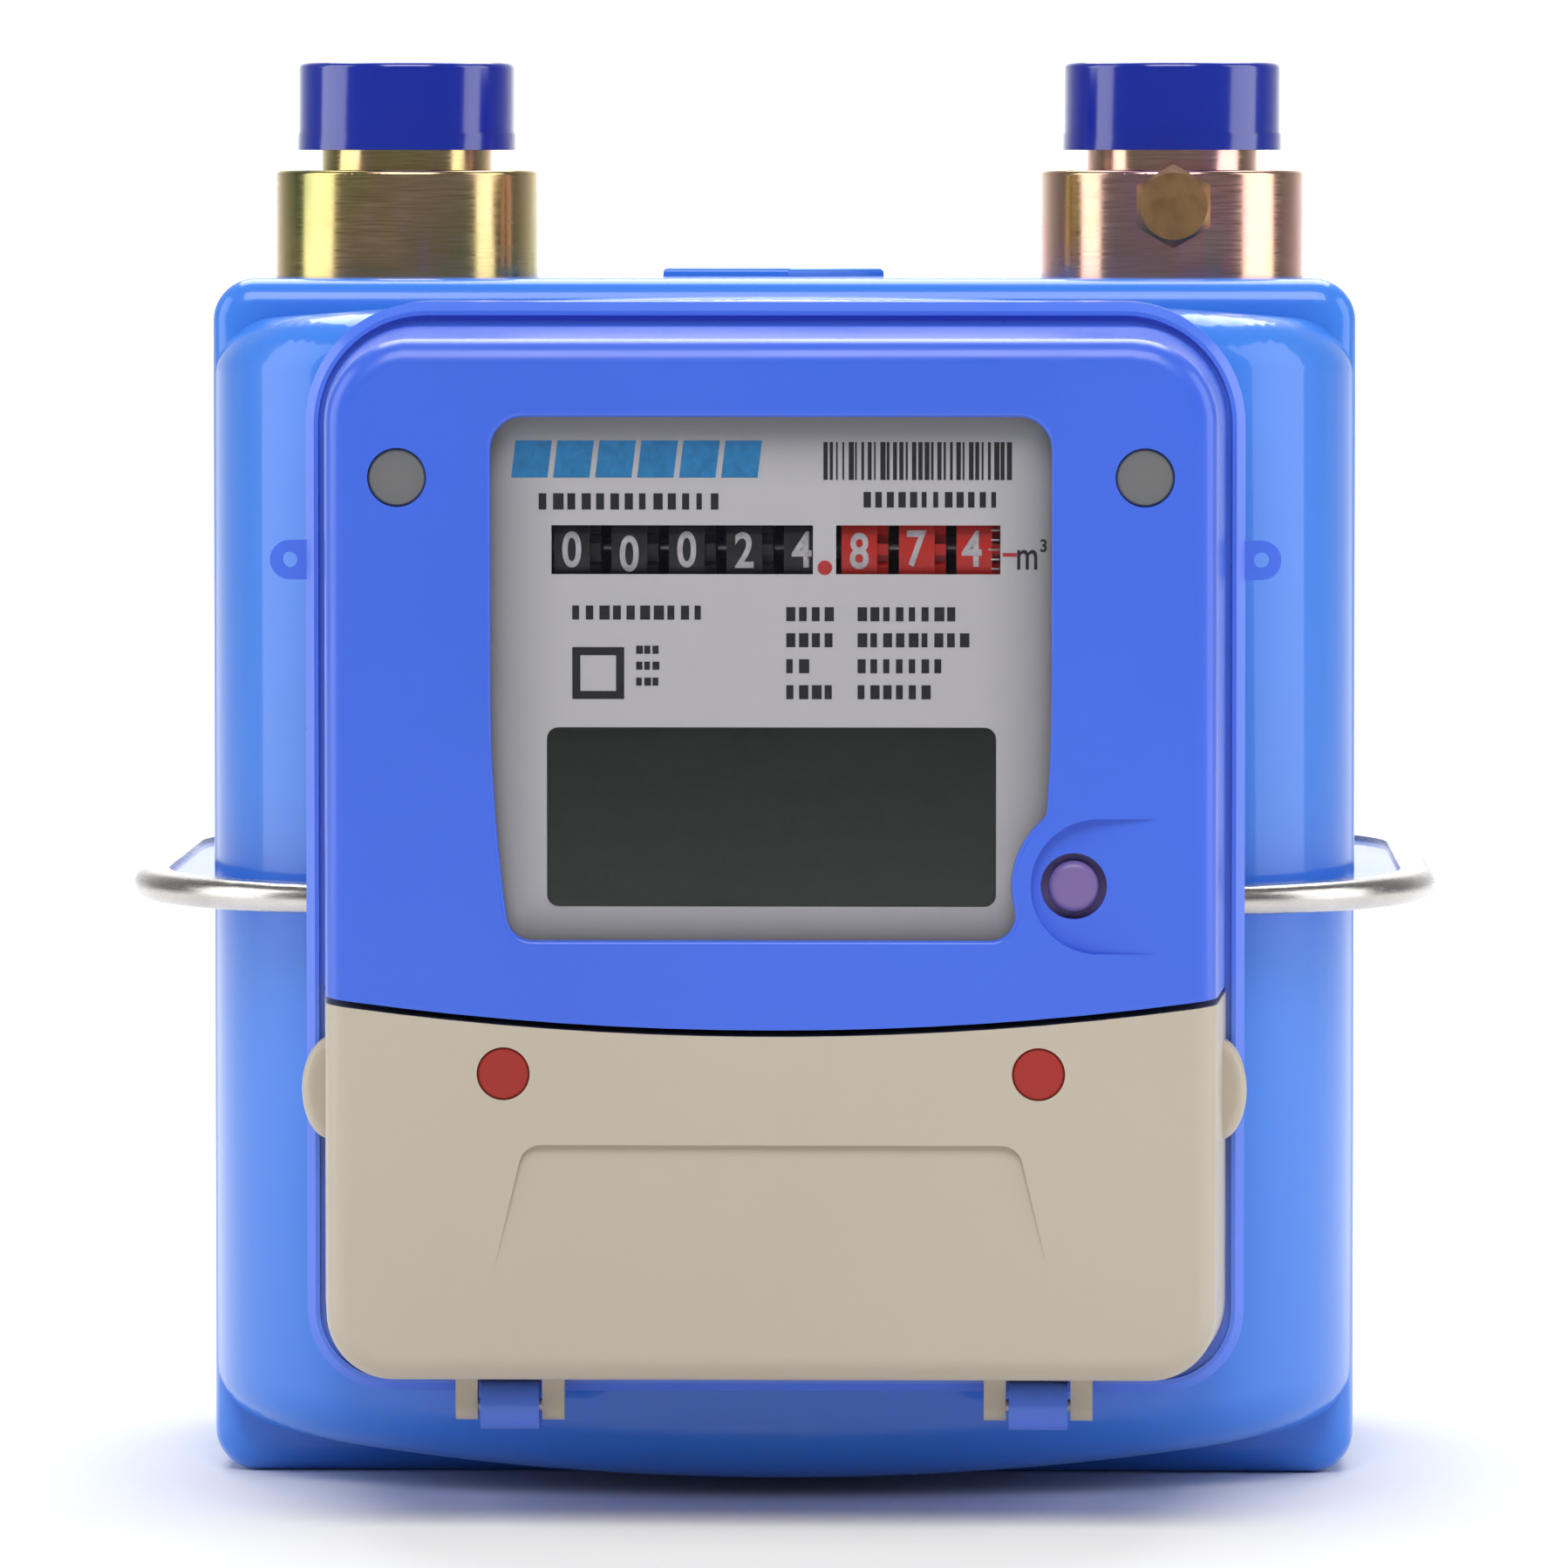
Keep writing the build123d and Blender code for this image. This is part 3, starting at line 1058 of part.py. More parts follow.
PLATE_Y = RIM_Y + 1.1
with BuildPart() as diaphragm_plate:
    with BuildSketch(front_plane(PLATE_Y)):
        with Locations((0, UNIT_MID_Z)):
            RectangleRounded((CHAMBER_HALF_WIDTH - ROLL_IN - 0.8) * 2, UNIT_HEIGHT - ROLL_IN * 2 - 1.6, 8)
    extrude(amount=1)
    with BuildSketch(front_plane(PLATE_Y + 0.8)):
        with Locations((0, UNIT_MID_Z)):
            RectangleRounded(52, 18, 4)
    extrude(amount=1)
    add(block((-18, PLATE_Y, UNIT_MID_Z - 5), (-10, PLATE_Y + 4.5, UNIT_MID_Z + 5)))
for side, mirror_y in (("front", False), ("rear", True)):
    plate = diaphragm_plate.part.mirror(Plane.XZ) if mirror_y else diaphragm_plate.part
    plate.label = f"{side}_diaphragm_plate"
    export_step(plate, f"parts/{side}_diaphragm_plate.step")


def flag(y, top_z):
    """Flag rod with its wing in the chamber and its arm above the deck, welded into one part."""
    tip_x, tip_reach = ARM_TIP
    tip_y = tip_reach if y > 0 else -tip_reach
    with BuildPart() as body:
        with BuildSketch(Plane.XY.offset(ROD_FOOT_Z + 0.3)):
            with Locations((FLAG_X, y)):
                Circle(FLAG_R)
        extrude(amount=ARM_Z + 2.5 - ROD_FOOT_Z - 0.3)
        with BuildSketch(Plane.XY.offset(28)):
            with Locations((FLAG_X, y)):
                Circle(3.2)
                Rectangle(36, 1.2, align=(Align.MIN, Align.CENTER))
        extrude(amount=32)
        with BuildSketch(Plane.XY.offset(ARM_Z)):
            with Locations((FLAG_X, y)):
                Circle(4)
            with Locations((tip_x, tip_y)):
                Circle(2.6)
            make_hull()
        extrude(amount=1.5)
        with BuildSketch(Plane.XY.offset(ARM_Z)):
            with Locations((tip_x, tip_y)):
                Circle(1.0)
        extrude(amount=top_z - ARM_Z)
    return body.part


def tangent_link(y, z):
    """Link from a flag arm to the crank; its crank end hangs free just under the crank pin."""
    tip_x, tip_reach = ARM_TIP
    side = 1 if y > 0 else -1
    with BuildPart() as link:
        with BuildSketch(Plane.XY.offset(z)):
            with Locations((tip_x, side * tip_reach), (CRANK_X, side * 4)):
                Circle(2.2)
            make_hull()
            with Locations((tip_x, side * tip_reach)):
                Circle(1.0 + RUNNING_FIT, mode=Mode.SUBTRACT)
        extrude(amount=1)
    return link.part


def slide_valve(y):
    """Inverted-cup slide valve with its pull rod."""
    with BuildPart() as valve:
        add(block((VALVE_X - 10, y - 8, GRID_TOP + 0.4), (VALVE_X + 10, y + 8, GRID_TOP + 6)))
        fillet(valve.edges().filter_by(Axis.Z) + valve.edges().group_by(Axis.Z)[-1], radius=1.5)
        add(block((VALVE_X - 6.5, y - 6, GRID_TOP), (VALVE_X + 6.5, y + 6, GRID_TOP + 4)), mode=Mode.SUBTRACT)
        add(block((VALVE_X - 26, y - 1, GRID_TOP + 1.6), (VALVE_X - 9, y + 1, GRID_TOP + 2.8)))
    return valve.part


VALVE_X = 6.0
VALVE_Y = 13.0
GRID_BASE = 92.0
GRID_TOP = 94.0
LINK_Z = {"front": 100.2, "rear": 101.7}
for side, sign in (("front", -1), ("rear", 1)):
    flag_part = flag(sign * FLAG_Y, LINK_Z[side] + 1.3)
    flag_part.label = f"{side}_flag"
    export_step(flag_part, f"parts/{side}_flag.step")
    link_part = tangent_link(sign * FLAG_Y, LINK_Z[side])
    link_part.label = f"{side}_tangent_link"
    export_step(link_part, f"parts/{side}_tangent_link.step")
    valve_part = slide_valve(sign * VALVE_Y)
    valve_part.label = f"{side}_slide_valve"
    export_step(valve_part, f"parts/{side}_slide_valve.step")


def valve_ports():
    """Three slots under each slide valve, as a sketch on the top of the grids."""
    with BuildSketch(Plane.XY.offset(GRID_TOP)) as ports:
        with Locations((VALVE_X, -VALVE_Y), (VALVE_X, VALVE_Y)):
            with GridLocations(8, 1, 3, 1):
                Rectangle(4, 12)
    return ports.sketch


with BuildPart() as distributor:
    add(block((-14, -25, DECK_TOP), (CHAMBER_HALF_WIDTH + 6, 25, GRID_BASE)))
    fillet(distributor.edges().filter_by(Axis.Z), radius=3)
    extrude(valve_ports(), amount=-8, mode=Mode.SUBTRACT)
    add(block((VALVE_X - 2, -8, 86), (52, 8, 89.5)), mode=Mode.SUBTRACT)
    add(block((47, -7, 86), (61, 7, GRID_BASE + 1)), mode=Mode.SUBTRACT)
distributor.part.label = "distributor"
export_step(distributor.part, "parts/distributor.step")

with BuildPart() as valve_grids:
    with BuildSketch(Plane.XY.offset(GRID_BASE)):
        with Locations((VALVE_X, -VALVE_Y), (VALVE_X, VALVE_Y)):
            RectangleRounded(32, 18, 1.5)
    extrude(amount=GRID_TOP - GRID_BASE)
    extrude(valve_ports(), amount=-4, mode=Mode.SUBTRACT)
valve_grids.part.label = "valve_grids"
export_step(valve_grids.part, "parts/valve_grids.step")

with BuildPart() as outlet_duct:
    add(block((42, -12, GRID_BASE), (66, 12, GRID_BASE + 6)))
    fillet(outlet_duct.edges().filter_by(Axis.Z), radius=3)
    with BuildSketch(Plane.XY.offset(GRID_BASE + 5)):
        with Locations((PORT_X, 0)):
            Circle(DUCT_R)
    extrude(amount=163 - GRID_BASE - 5)
    add(block((46, -8, GRID_BASE - 1), (64, 8, GRID_BASE + 4.5)), mode=Mode.SUBTRACT)
    with BuildSketch(Plane.XY.offset(GRID_BASE + 4)):
        with Locations((PORT_X, 0)):
            Circle(DUCT_R - 1.4)
    extrude(amount=80, mode=Mode.SUBTRACT)
outlet_duct.part.label = "outlet_duct"
export_step(outlet_duct.part, "parts/outlet_duct.step")

BRACKET_TOP = 131.5
with BuildPart() as crank_bracket:
    for side in (-1, 1):
        mid_y = side * BRACKET_Y
        add(block((DRIVE_X - 4, mid_y - 2, DECK_TOP), (CRANK_X + 3.5, mid_y + 2, BRACKET_TOP)))
    for low_z, high_z in ((108.5, 111.5), (BRACKET_TOP - 3, BRACKET_TOP)):
        add(block((CRANK_X - 3.5, -BRACKET_Y, low_z), (CRANK_X + 3.5, BRACKET_Y, high_z)))
    with BuildSketch(Plane.XY.offset(100)):
        with Locations((CRANK_X, 0)):
            Circle(DRIVE_R + RUNNING_FIT)
    extrude(amount=40, mode=Mode.SUBTRACT)
    extrude(front_discs(DRIVE_POINT, DRIVE_R + RUNNING_FIT, 40), amount=80, mode=Mode.SUBTRACT)
crank_bracket.part.label = "crank_bracket"
export_step(crank_bracket.part, "parts/crank_bracket.step")

CRANK_DISC_Z = 104.6
with BuildPart() as crank_shaft:
    with BuildSketch(Plane.XY.offset(CRANK_DISC_Z)):
        with Locations((CRANK_X, 0)):
            Circle(CRANK_THROW + 2.5)
    extrude(amount=2)
    with BuildSketch(Plane.XY.offset(CRANK_DISC_Z)):
        with Locations((CRANK_X + CRANK_THROW, 0)):
            Circle(1.0)
    extrude(amount=-1.1)
    with BuildSketch(Plane.XY.offset(CRANK_DISC_Z)):
        with Locations((CRANK_X, 0)):
            Circle(DRIVE_R)
    extrude(amount=BRACKET_TOP + 1 - CRANK_DISC_Z)
    for turn in range(7):
        with BuildSketch(Plane.XY.offset(117 + turn * 1.5)):
            with Locations((CRANK_X, 0)):
                Circle(WORM_R)
        extrude(amount=0.8)
crank_shaft.part.label = "crank_shaft"
export_step(crank_shaft.part, "parts/crank_shaft.step")
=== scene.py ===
"""Gas meter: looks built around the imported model, laid out as a Blender add-on and run as a script."""
import json
import math

import bmesh
import bpy
from bpy.props import FloatProperty, FloatVectorProperty, IntProperty, PointerProperty
from mathutils import Matrix, Vector


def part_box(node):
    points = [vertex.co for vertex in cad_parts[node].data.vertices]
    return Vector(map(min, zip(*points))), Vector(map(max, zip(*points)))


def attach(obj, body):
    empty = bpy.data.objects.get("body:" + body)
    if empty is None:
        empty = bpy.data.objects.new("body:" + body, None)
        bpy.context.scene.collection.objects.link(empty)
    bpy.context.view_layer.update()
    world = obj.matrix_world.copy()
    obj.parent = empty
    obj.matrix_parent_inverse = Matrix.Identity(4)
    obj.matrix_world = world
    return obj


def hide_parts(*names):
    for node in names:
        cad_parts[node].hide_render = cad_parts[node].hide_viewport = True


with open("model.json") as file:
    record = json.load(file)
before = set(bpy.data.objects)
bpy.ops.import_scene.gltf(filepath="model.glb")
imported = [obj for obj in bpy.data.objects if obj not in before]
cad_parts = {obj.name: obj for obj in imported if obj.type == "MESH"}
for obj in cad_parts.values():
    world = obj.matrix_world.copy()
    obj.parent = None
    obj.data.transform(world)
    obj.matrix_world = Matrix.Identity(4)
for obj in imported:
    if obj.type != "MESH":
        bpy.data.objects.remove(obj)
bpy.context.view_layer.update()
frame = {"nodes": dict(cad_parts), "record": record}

bl_info = {
    "name": "Gas meter",
    "version": (1, 0, 0),
    "blender": (4, 5, 0),
    "location": "3D View > Sidebar > Gas meter",
    "description": "Builds the visible pieces and the stage of a diaphragm gas meter",
    "category": "Object",
}

MM = 0.001
THREAD_PITCH, THREAD_DEPTH = 1.814 * MM, 1.0 * MM  # 14 turns to the inch
THREAD_RADIUS, NECK_RADIUS, PORT_RADIUS = 13.22 * MM, 12.25 * MM, 10.0 * MM
THREAD_LENGTH = 10.4 * MM
BAND_OFFSET = 2.4 * MM  # from a drum's left face to the middle of its digits
FAST_BAND_OFFSET = 2.05 * MM
TICKS = 50  # on the fast drum, five to a digit
TICK_END = 3.75 * MM  # right end of each tick from the middle of its digits
POINT_RADIUS = 0.98 * MM
PRINT_DEPTH = 0.02 * MM
BLACK_DRUMS = ("ten_thousands", "thousands", "hundreds", "tens", "units")
RED_DRUMS = ("tenths", "hundredths", "thousandths")


# --- Property groups --------------------------------------------------------------------------------------
def colour_property(name, description, default):
    return FloatVectorProperty(
        name=name, description=description, default=default, size=4, min=0.0, max=1.0, subtype="COLOR"
    )


class MeterFinishes(bpy.types.PropertyGroup):
    """Colours of the painted, moulded and plated surfaces."""

    case_paint: colour_property("Case paint", "Stoved paint on both shells", (0.045, 0.212, 0.76, 1))
    housing: colour_property("Housing", "Moulded index housing", (0.042, 0.126, 0.70, 1))
    # Lighter than the housing blue: partly the tray's own tone, and partly painted light for the side light
    # and edge highlight that the rim catches.
    tray: colour_property("Tray", "Moulded index tray", (0.075, 0.185, 0.80, 1))
    cap: colour_property("Thread caps", "Polythene thread caps", (0.005, 0.020, 0.30, 1))
    door: colour_property("Battery door", "Moulded battery door", (0.50, 0.435, 0.345, 1))
    seal_red: colour_property("Door seals", "Seal plugs of the door", (0.34, 0.016, 0.010, 1))
    seal_grey: colour_property("Cover seals", "Seal plugs of the cover", (0.15, 0.15, 0.15, 1))
    button: colour_property("Button", "Push button", (0.175, 0.115, 0.31, 1))
    label: colour_property("Label", "Ground of the printed label", (0.60, 0.58, 0.60, 1))
    display: colour_property("Display", "Unpowered liquid crystal display", (0.006, 0.013, 0.008, 1))


class MeterPrint(bpy.types.PropertyGroup):
    """Printing on the label and the drums."""

    digit_height: FloatProperty(
        name="Digit height", description="Height of the drum digits", default=4.9 * MM, unit="LENGTH"
    )
    ink_height: FloatProperty(
        name="Ink thickness",
        description="How far print stands off its ground",
        default=0.03 * MM,
        unit="LENGTH",
    )
    code_bars: IntProperty(
        name="Code bars", description="Number of bars in the stripe code", default=30, min=8
    )
    seed: IntProperty(name="Seed", description="Seed of the uneven bar widths", default=7)


class MeterStage(bpy.types.PropertyGroup):
    """Camera and light."""

    distance: FloatProperty(
        name="Camera distance", description="From the plane of the connections", default=1.618, unit="LENGTH"
    )
    height: FloatProperty(name="Camera height", description="Above the base", default=0.1833, unit="LENGTH")
    azimuth: FloatProperty(
        name="Camera azimuth", description="Turn to the right", default=math.radians(1.3), subtype="ANGLE"
    )
    pitch: FloatProperty(
        name="Camera pitch", description="Tilt downwards", default=math.radians(3.105), subtype="ANGLE"
    )
    lens: FloatProperty(name="Lens", description="Focal length in millimetres", default=258.0)
    light: FloatProperty(name="Light", description="Power of each side light in watts", default=6.9)


# --- Node helpers -----------------------------------------------------------------------------------------
def shader(name):
    """A new material with its node tree, its Principled shader and Object coordinates."""
    material = bpy.data.materials.new(name)
    material.use_nodes = True
    tree = material.node_tree
    principled = tree.nodes["Principled BSDF"]
    place = tree.nodes.new("ShaderNodeTexCoord").outputs["Object"]
    return material, tree, principled, place


def noise(tree, place, scale, detail=3.0, rough=0.5):
    node = tree.nodes.new("ShaderNodeTexNoise")
    node.inputs["Scale"].default_value = scale
    node.inputs["Detail"].default_value = detail
    node.inputs["Roughness"].default_value = rough
    tree.links.new(place, node.inputs["Vector"])
    return node.outputs["Fac"]


def remap(tree, value, low, high, start=0.3, end=0.7):
    node = tree.nodes.new("ShaderNodeMapRange")
    node.inputs["From Min"].default_value = start
    node.inputs["From Max"].default_value = end
    node.inputs["To Min"].default_value = low
    node.inputs["To Max"].default_value = high
    tree.links.new(value, node.inputs["Value"])
    return node.outputs["Result"]


def ramp(tree, value, stops):
    node = tree.nodes.new("ShaderNodeValToRGB")
    elements = node.color_ramp.elements
    while len(elements) < len(stops):
        elements.new(0.5)
    for element, (position, colour) in zip(elements, stops):
        element.position = position
        element.color = colour
    tree.links.new(value, node.inputs["Fac"])
    return node.outputs["Color"]


def bump(tree, principled, height, strength, distance):
    node = tree.nodes.new("ShaderNodeBump")
    node.inputs["Strength"].default_value = strength
    node.inputs["Distance"].default_value = distance
    tree.links.new(height, node.inputs["Height"])
    tree.links.new(node.outputs["Normal"], principled.inputs["Normal"])


def shade(colour, factor):
    return tuple(min(1.0, c * factor) for c in colour[:3]) + (1.0,)


def moulded(name, colour, rough=0.4, grain=0.05, coat=0.0, sheen_scale=9.0, specular=0.5, spread=0.08):
    """Moulded plastic: faint cloudy colour, uneven polish and a fine spark-eroded grain."""
    material, tree, principled, place = shader(name)
    cloud = noise(tree, place, sheen_scale, 4.0)
    tone = ramp(tree, cloud, [(0.3, shade(colour, 1 - spread)), (0.7, shade(colour, 1 + spread))])
    tree.links.new(tone, principled.inputs["Base Color"])
    polish = remap(tree, noise(tree, place, 60.0, 5.0), rough * 0.88, rough * 1.14)
    tree.links.new(polish, principled.inputs["Roughness"])
    bump(tree, principled, noise(tree, place, 2600.0, 2.0), grain, 0.00006)
    principled.inputs["Coat Weight"].default_value = coat
    principled.inputs["Coat Roughness"].default_value = 0.12
    principled.inputs["Specular IOR Level"].default_value = specular
    return material


def enamel(name, colour):
    """Stoved paint on drawn steel: gloss coat with orange peel and slow waves of the sheet."""
    material, tree, principled, place = shader(name)
    tone = ramp(
        tree, noise(tree, place, 6.0, 3.0), [(0.3, shade(colour, 0.95)), (0.7, shade(colour, 1.05))]
    )
    tree.links.new(tone, principled.inputs["Base Color"])
    polish = remap(tree, noise(tree, place, 40.0, 1.0), 0.29, 0.33, 0.1, 0.9)
    tree.links.new(polish, principled.inputs["Roughness"])
    peel = noise(tree, place, 520.0, 2.0)
    wave = noise(tree, place, 28.0, 2.0)
    mix = tree.nodes.new("ShaderNodeMath")
    mix.operation = "MULTIPLY_ADD"
    mix.inputs[1].default_value = 2.0
    tree.links.new(wave, mix.inputs[0])
    tree.links.new(peel, mix.inputs[2])
    bump(tree, principled, mix.outputs[0], 0.12, 0.00008)
    principled.inputs["Coat Weight"].default_value = 0.55
    principled.inputs["Coat Roughness"].default_value = 0.05
    principled.inputs["Specular IOR Level"].default_value = 0.3
    return material


def metal(name, colour, rough, stretch=(1, 1, 1), scale=300.0, tint=None, groove=0.12):
    """Worked metal: brushed or turned lines along the squeezed axes, with an optional second tint."""
    material, tree, principled, place = shader(name)
    mapping = tree.nodes.new("ShaderNodeMapping")
    mapping.inputs["Scale"].default_value = stretch
    tree.links.new(place, mapping.inputs["Vector"])
    lines = noise(tree, mapping.outputs["Vector"], scale, 4.0, 0.65)
    second = tint if tint else shade(colour, 0.82)
    tone = ramp(tree, noise(tree, place, 70.0, 3.0), [(0.35, second), (0.65, colour)])
    tree.links.new(tone, principled.inputs["Base Color"])
    tree.links.new(remap(tree, lines, rough * 0.75, rough * 1.35), principled.inputs["Roughness"])
    bump(tree, principled, lines, groove, 0.00005)
    principled.inputs["Metallic"].default_value = 1.0
    return material


OLIVE_FILM = (
    (0.36, 0.36, 0.14, 1),
    (0.56, 0.47, 0.19, 1),
    (0.62, 0.47, 0.22, 1),
    (0.68, 0.46, 0.26, 1),
    (0.60, 0.48, 0.36, 1),
)
ROSE_FILM = (
    (0.66, 0.50, 0.26, 1),
    (0.74, 0.47, 0.34, 1),
    (0.78, 0.45, 0.38, 1),
    (0.76, 0.42, 0.45, 1),
    (0.56, 0.50, 0.46, 1),
)


def chromate(name, film_colours):
    """Yellow zinc chromate over turned steel: gold with pink and green interference bands."""
    material, tree, principled, place = shader(name)
    mapping = tree.nodes.new("ShaderNodeMapping")
    mapping.inputs["Scale"].default_value = (1.0, 1.0, 0.25)
    tree.links.new(place, mapping.inputs["Vector"])
    film = noise(tree, mapping.outputs["Vector"], 95.0, 3.0, 0.6)
    tone = ramp(tree, film, list(zip((0.32, 0.42, 0.5, 0.6, 0.72), film_colours)))
    tree.links.new(tone, principled.inputs["Base Color"])
    turned = tree.nodes.new("ShaderNodeMapping")
    turned.inputs["Scale"].default_value = (0.05, 0.05, 1.0)
    tree.links.new(place, turned.inputs["Vector"])
    lines = noise(tree, turned.outputs["Vector"], 3200.0, 2.0)
    tree.links.new(remap(tree, lines, 0.13, 0.22), principled.inputs["Roughness"])
    bump(tree, principled, lines, 0.05, 0.00002)
    principled.inputs["Metallic"].default_value = 1.0
    return material


def label_ground(name, colour):
    """Grey printed plate, with painted shade: darker in a soft band along the edges of the window above it,
    where the cover's window edge shades it.
    """
    material, tree, principled, place = shader(name)
    low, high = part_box("window")
    parts = tree.nodes.new("ShaderNodeSeparateXYZ")
    tree.links.new(place, parts.inputs["Vector"])
    edges = []
    for axis, start, end in (("X", low.x, high.x), ("Z", low.z, high.z)):
        away = tree.nodes.new("ShaderNodeMath")
        away.operation = "SUBTRACT"
        away.inputs[1].default_value = (start + end) / 2
        tree.links.new(parts.outputs[axis], away.inputs[0])
        size = tree.nodes.new("ShaderNodeMath")
        size.operation = "ABSOLUTE"
        tree.links.new(away.outputs[0], size.inputs[0])
        half = (end - start) / 2
        edges.append(remap(tree, size.outputs[0], 0.0, 1.0, half - 11 * MM, half))
    # Painted shade: the nearer a point lies to the window's edge, the darker the ground is painted.
    window_shade = tree.nodes.new("ShaderNodeMath")
    window_shade.operation = "MAXIMUM"
    for socket, edge in zip(window_shade.inputs, edges):
        tree.links.new(edge, socket)
    # Painted shade: the ground darkens towards the window's edges, where the cover shades the recessed label.
    stops = [(0.0, colour), (0.35, shade(colour, 0.88)), (1.0, shade(colour, 0.52))]
    tone = ramp(tree, window_shade.outputs[0], stops)
    tree.links.new(tone, principled.inputs["Base Color"])
    tree.links.new(remap(tree, noise(tree, place, 80.0), 0.42, 0.52), principled.inputs["Roughness"])
    return material


def clear_window(name):
    """Clear moulded pane: nearly see-through, with a polished surface."""
    material, tree, principled, place = shader(name)
    principled.inputs["Base Color"].default_value = (0.02, 0.02, 0.024, 1)
    principled.inputs["Alpha"].default_value = 0.1
    tree.links.new(remap(tree, noise(tree, place, 30.0, 2.0), 0.0, 0.02), principled.inputs["Roughness"])
    return material


def printed_ink(name, colour, rough=0.45):
    material, tree, principled, place = shader(name)
    tone = ramp(
        tree, noise(tree, place, 900.0, 2.0), [(0.3, shade(colour, 0.85)), (0.7, shade(colour, 1.15))]
    )
    tree.links.new(tone, principled.inputs["Base Color"])
    principled.inputs["Roughness"].default_value = rough
    return material


# --- Mesh helpers -----------------------------------------------------------------------------------------
def new_object(name, mesh, material):
    obj = bpy.data.objects.new(name, mesh)
    bpy.context.scene.collection.objects.link(obj)
    if material:
        mesh.materials.clear()
        mesh.materials.append(material)
    return obj


def settle(obj, node, replaces=True):
    """Ties a finished piece to the body of the node that it stands for, and hides that node when the piece
    replaces it.
    """
    body = next(name for name, nodes in frame["record"]["behaviour"]["bodies"].items() if node in nodes)
    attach(obj, body)
    if replaces:
        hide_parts(node)


def smooth_by_angle(bm, degrees):
    limit = math.radians(degrees)
    for face in bm.faces:
        face.smooth = True
    for edge in bm.edges:
        edge.smooth = len(edge.link_faces) == 2 and edge.calc_face_angle(0.0) < limit


def refined(node, material, degrees=28):
    """Copy of a CAD node with merged vertices and smooth, correctly split shading."""
    source = frame["nodes"][node]
    bm = bmesh.new()
    bm.from_mesh(source.data)
    bmesh.ops.remove_doubles(bm, verts=bm.verts, dist=1e-6)
    smooth_by_angle(bm, degrees)
    mesh = bpy.data.meshes.new(node)
    bm.to_mesh(mesh)
    bm.free()
    obj = new_object(node + "_skin", mesh, material)
    weighted = obj.modifiers.new("Even shading", "WEIGHTED_NORMAL")
    weighted.keep_sharp = True
    settle(obj, node)
    return obj


def dress(node, material):
    """Gives a carried CAD node its material, in every slot it has."""
    obj = frame["nodes"][node]
    if not obj.material_slots:
        obj.data.materials.append(material)
    for slot in obj.material_slots:
        slot.material = material


def lathe(name, radius_at, heights, centre, segments, material, bore):
    """Closed turned part about +Z whose outer radius may change with height and angle."""
    bm = bmesh.new()
    rings = []
    for height in heights:
        ring = []
        for step in range(segments):
            angle = 2 * math.pi * step / segments
            radius = radius_at(height, angle)
            ring.append(bm.verts.new((radius * math.cos(angle), radius * math.sin(angle), height)))
        rings.append(ring)
    for height in (heights[-1], heights[0]):
        ring = []
        for step in range(segments):
            angle = 2 * math.pi * step / segments
            ring.append(bm.verts.new((bore * math.cos(angle), bore * math.sin(angle), height)))
        rings.append(ring)
    for below, above in zip(rings, rings[1:] + rings[:1]):
        for step in range(segments):
            after = (step + 1) % segments
            bm.faces.new((below[step], below[after], above[after], above[step]))
    bmesh.ops.translate(bm, verts=bm.verts, vec=centre)
    bmesh.ops.recalc_face_normals(bm, faces=bm.faces)
    smooth_by_angle(bm, 34)
    mesh = bpy.data.meshes.new(name)
    bm.to_mesh(mesh)
    bm.free()
    return new_object(name, mesh, material)


def text_mesh(body, height, stroke, squeeze):
    """Text as a plain flat mesh, centred on the origin in the XZ plane and facing -Y, bolder by stroke."""
    curve = bpy.data.curves.new("text", "FONT")
    curve.body = body
    curve.size = height / 0.73
    curve.offset = stroke
    curve.resolution_u = 6
    holder = bpy.data.objects.new("text", curve)
    bpy.context.scene.collection.objects.link(holder)
    bpy.context.view_layer.update()
    evaluated = holder.evaluated_get(bpy.context.evaluated_depsgraph_get())
    mesh = bpy.data.meshes.new_from_object(evaluated)
    bpy.data.objects.remove(holder)
    xs = [v.co.x for v in mesh.vertices]
    ys = [v.co.y for v in mesh.vertices]
    shift = Matrix.Translation((-(min(xs) + max(xs)) / 2, -(min(ys) + max(ys)) / 2, 0))
    narrow = Matrix.Scale(squeeze, 4, (1, 0, 0))
    mesh.transform(Matrix.Rotation(math.pi / 2, 4, "X") @ narrow @ shift)
    return mesh


def join_meshes(name, meshes, material):
    bm = bmesh.new()
    for mesh in meshes:
        bm.from_mesh(mesh)
    bmesh.ops.remove_doubles(bm, verts=bm.verts, dist=1e-7)
    mesh = bpy.data.meshes.new(name)
    bm.to_mesh(mesh)
    bm.free()
    return new_object(name, mesh, material)


# --- Geometry Nodes trees ---------------------------------------------------------------------------------
def new_tree(name, sockets):
    """Empty Geometry Nodes tree with named number inputs."""
    tree = bpy.data.node_groups.new(name, "GeometryNodeTree")
    tree.is_modifier = True
    tree.interface.new_socket("Geometry", in_out="INPUT", socket_type="NodeSocketGeometry")
    for label, kind in sockets:
        tree.interface.new_socket(label, in_out="INPUT", socket_type=kind)
    tree.interface.new_socket("Geometry", in_out="OUTPUT", socket_type="NodeSocketGeometry")
    return tree, tree.nodes.new("NodeGroupInput"), tree.nodes.new("NodeGroupOutput")


def finish_tree(tree, geometry, output, material):
    """Ends a tree in Realize Instances and Set Material."""
    realize = tree.nodes.new("GeometryNodeRealizeInstances")
    paint = tree.nodes.new("GeometryNodeSetMaterial")
    paint.inputs["Material"].default_value = material
    tree.links.new(geometry, realize.inputs["Geometry"])
    tree.links.new(realize.outputs["Geometry"], paint.inputs["Geometry"])
    tree.links.new(paint.outputs["Geometry"], output.inputs["Geometry"])


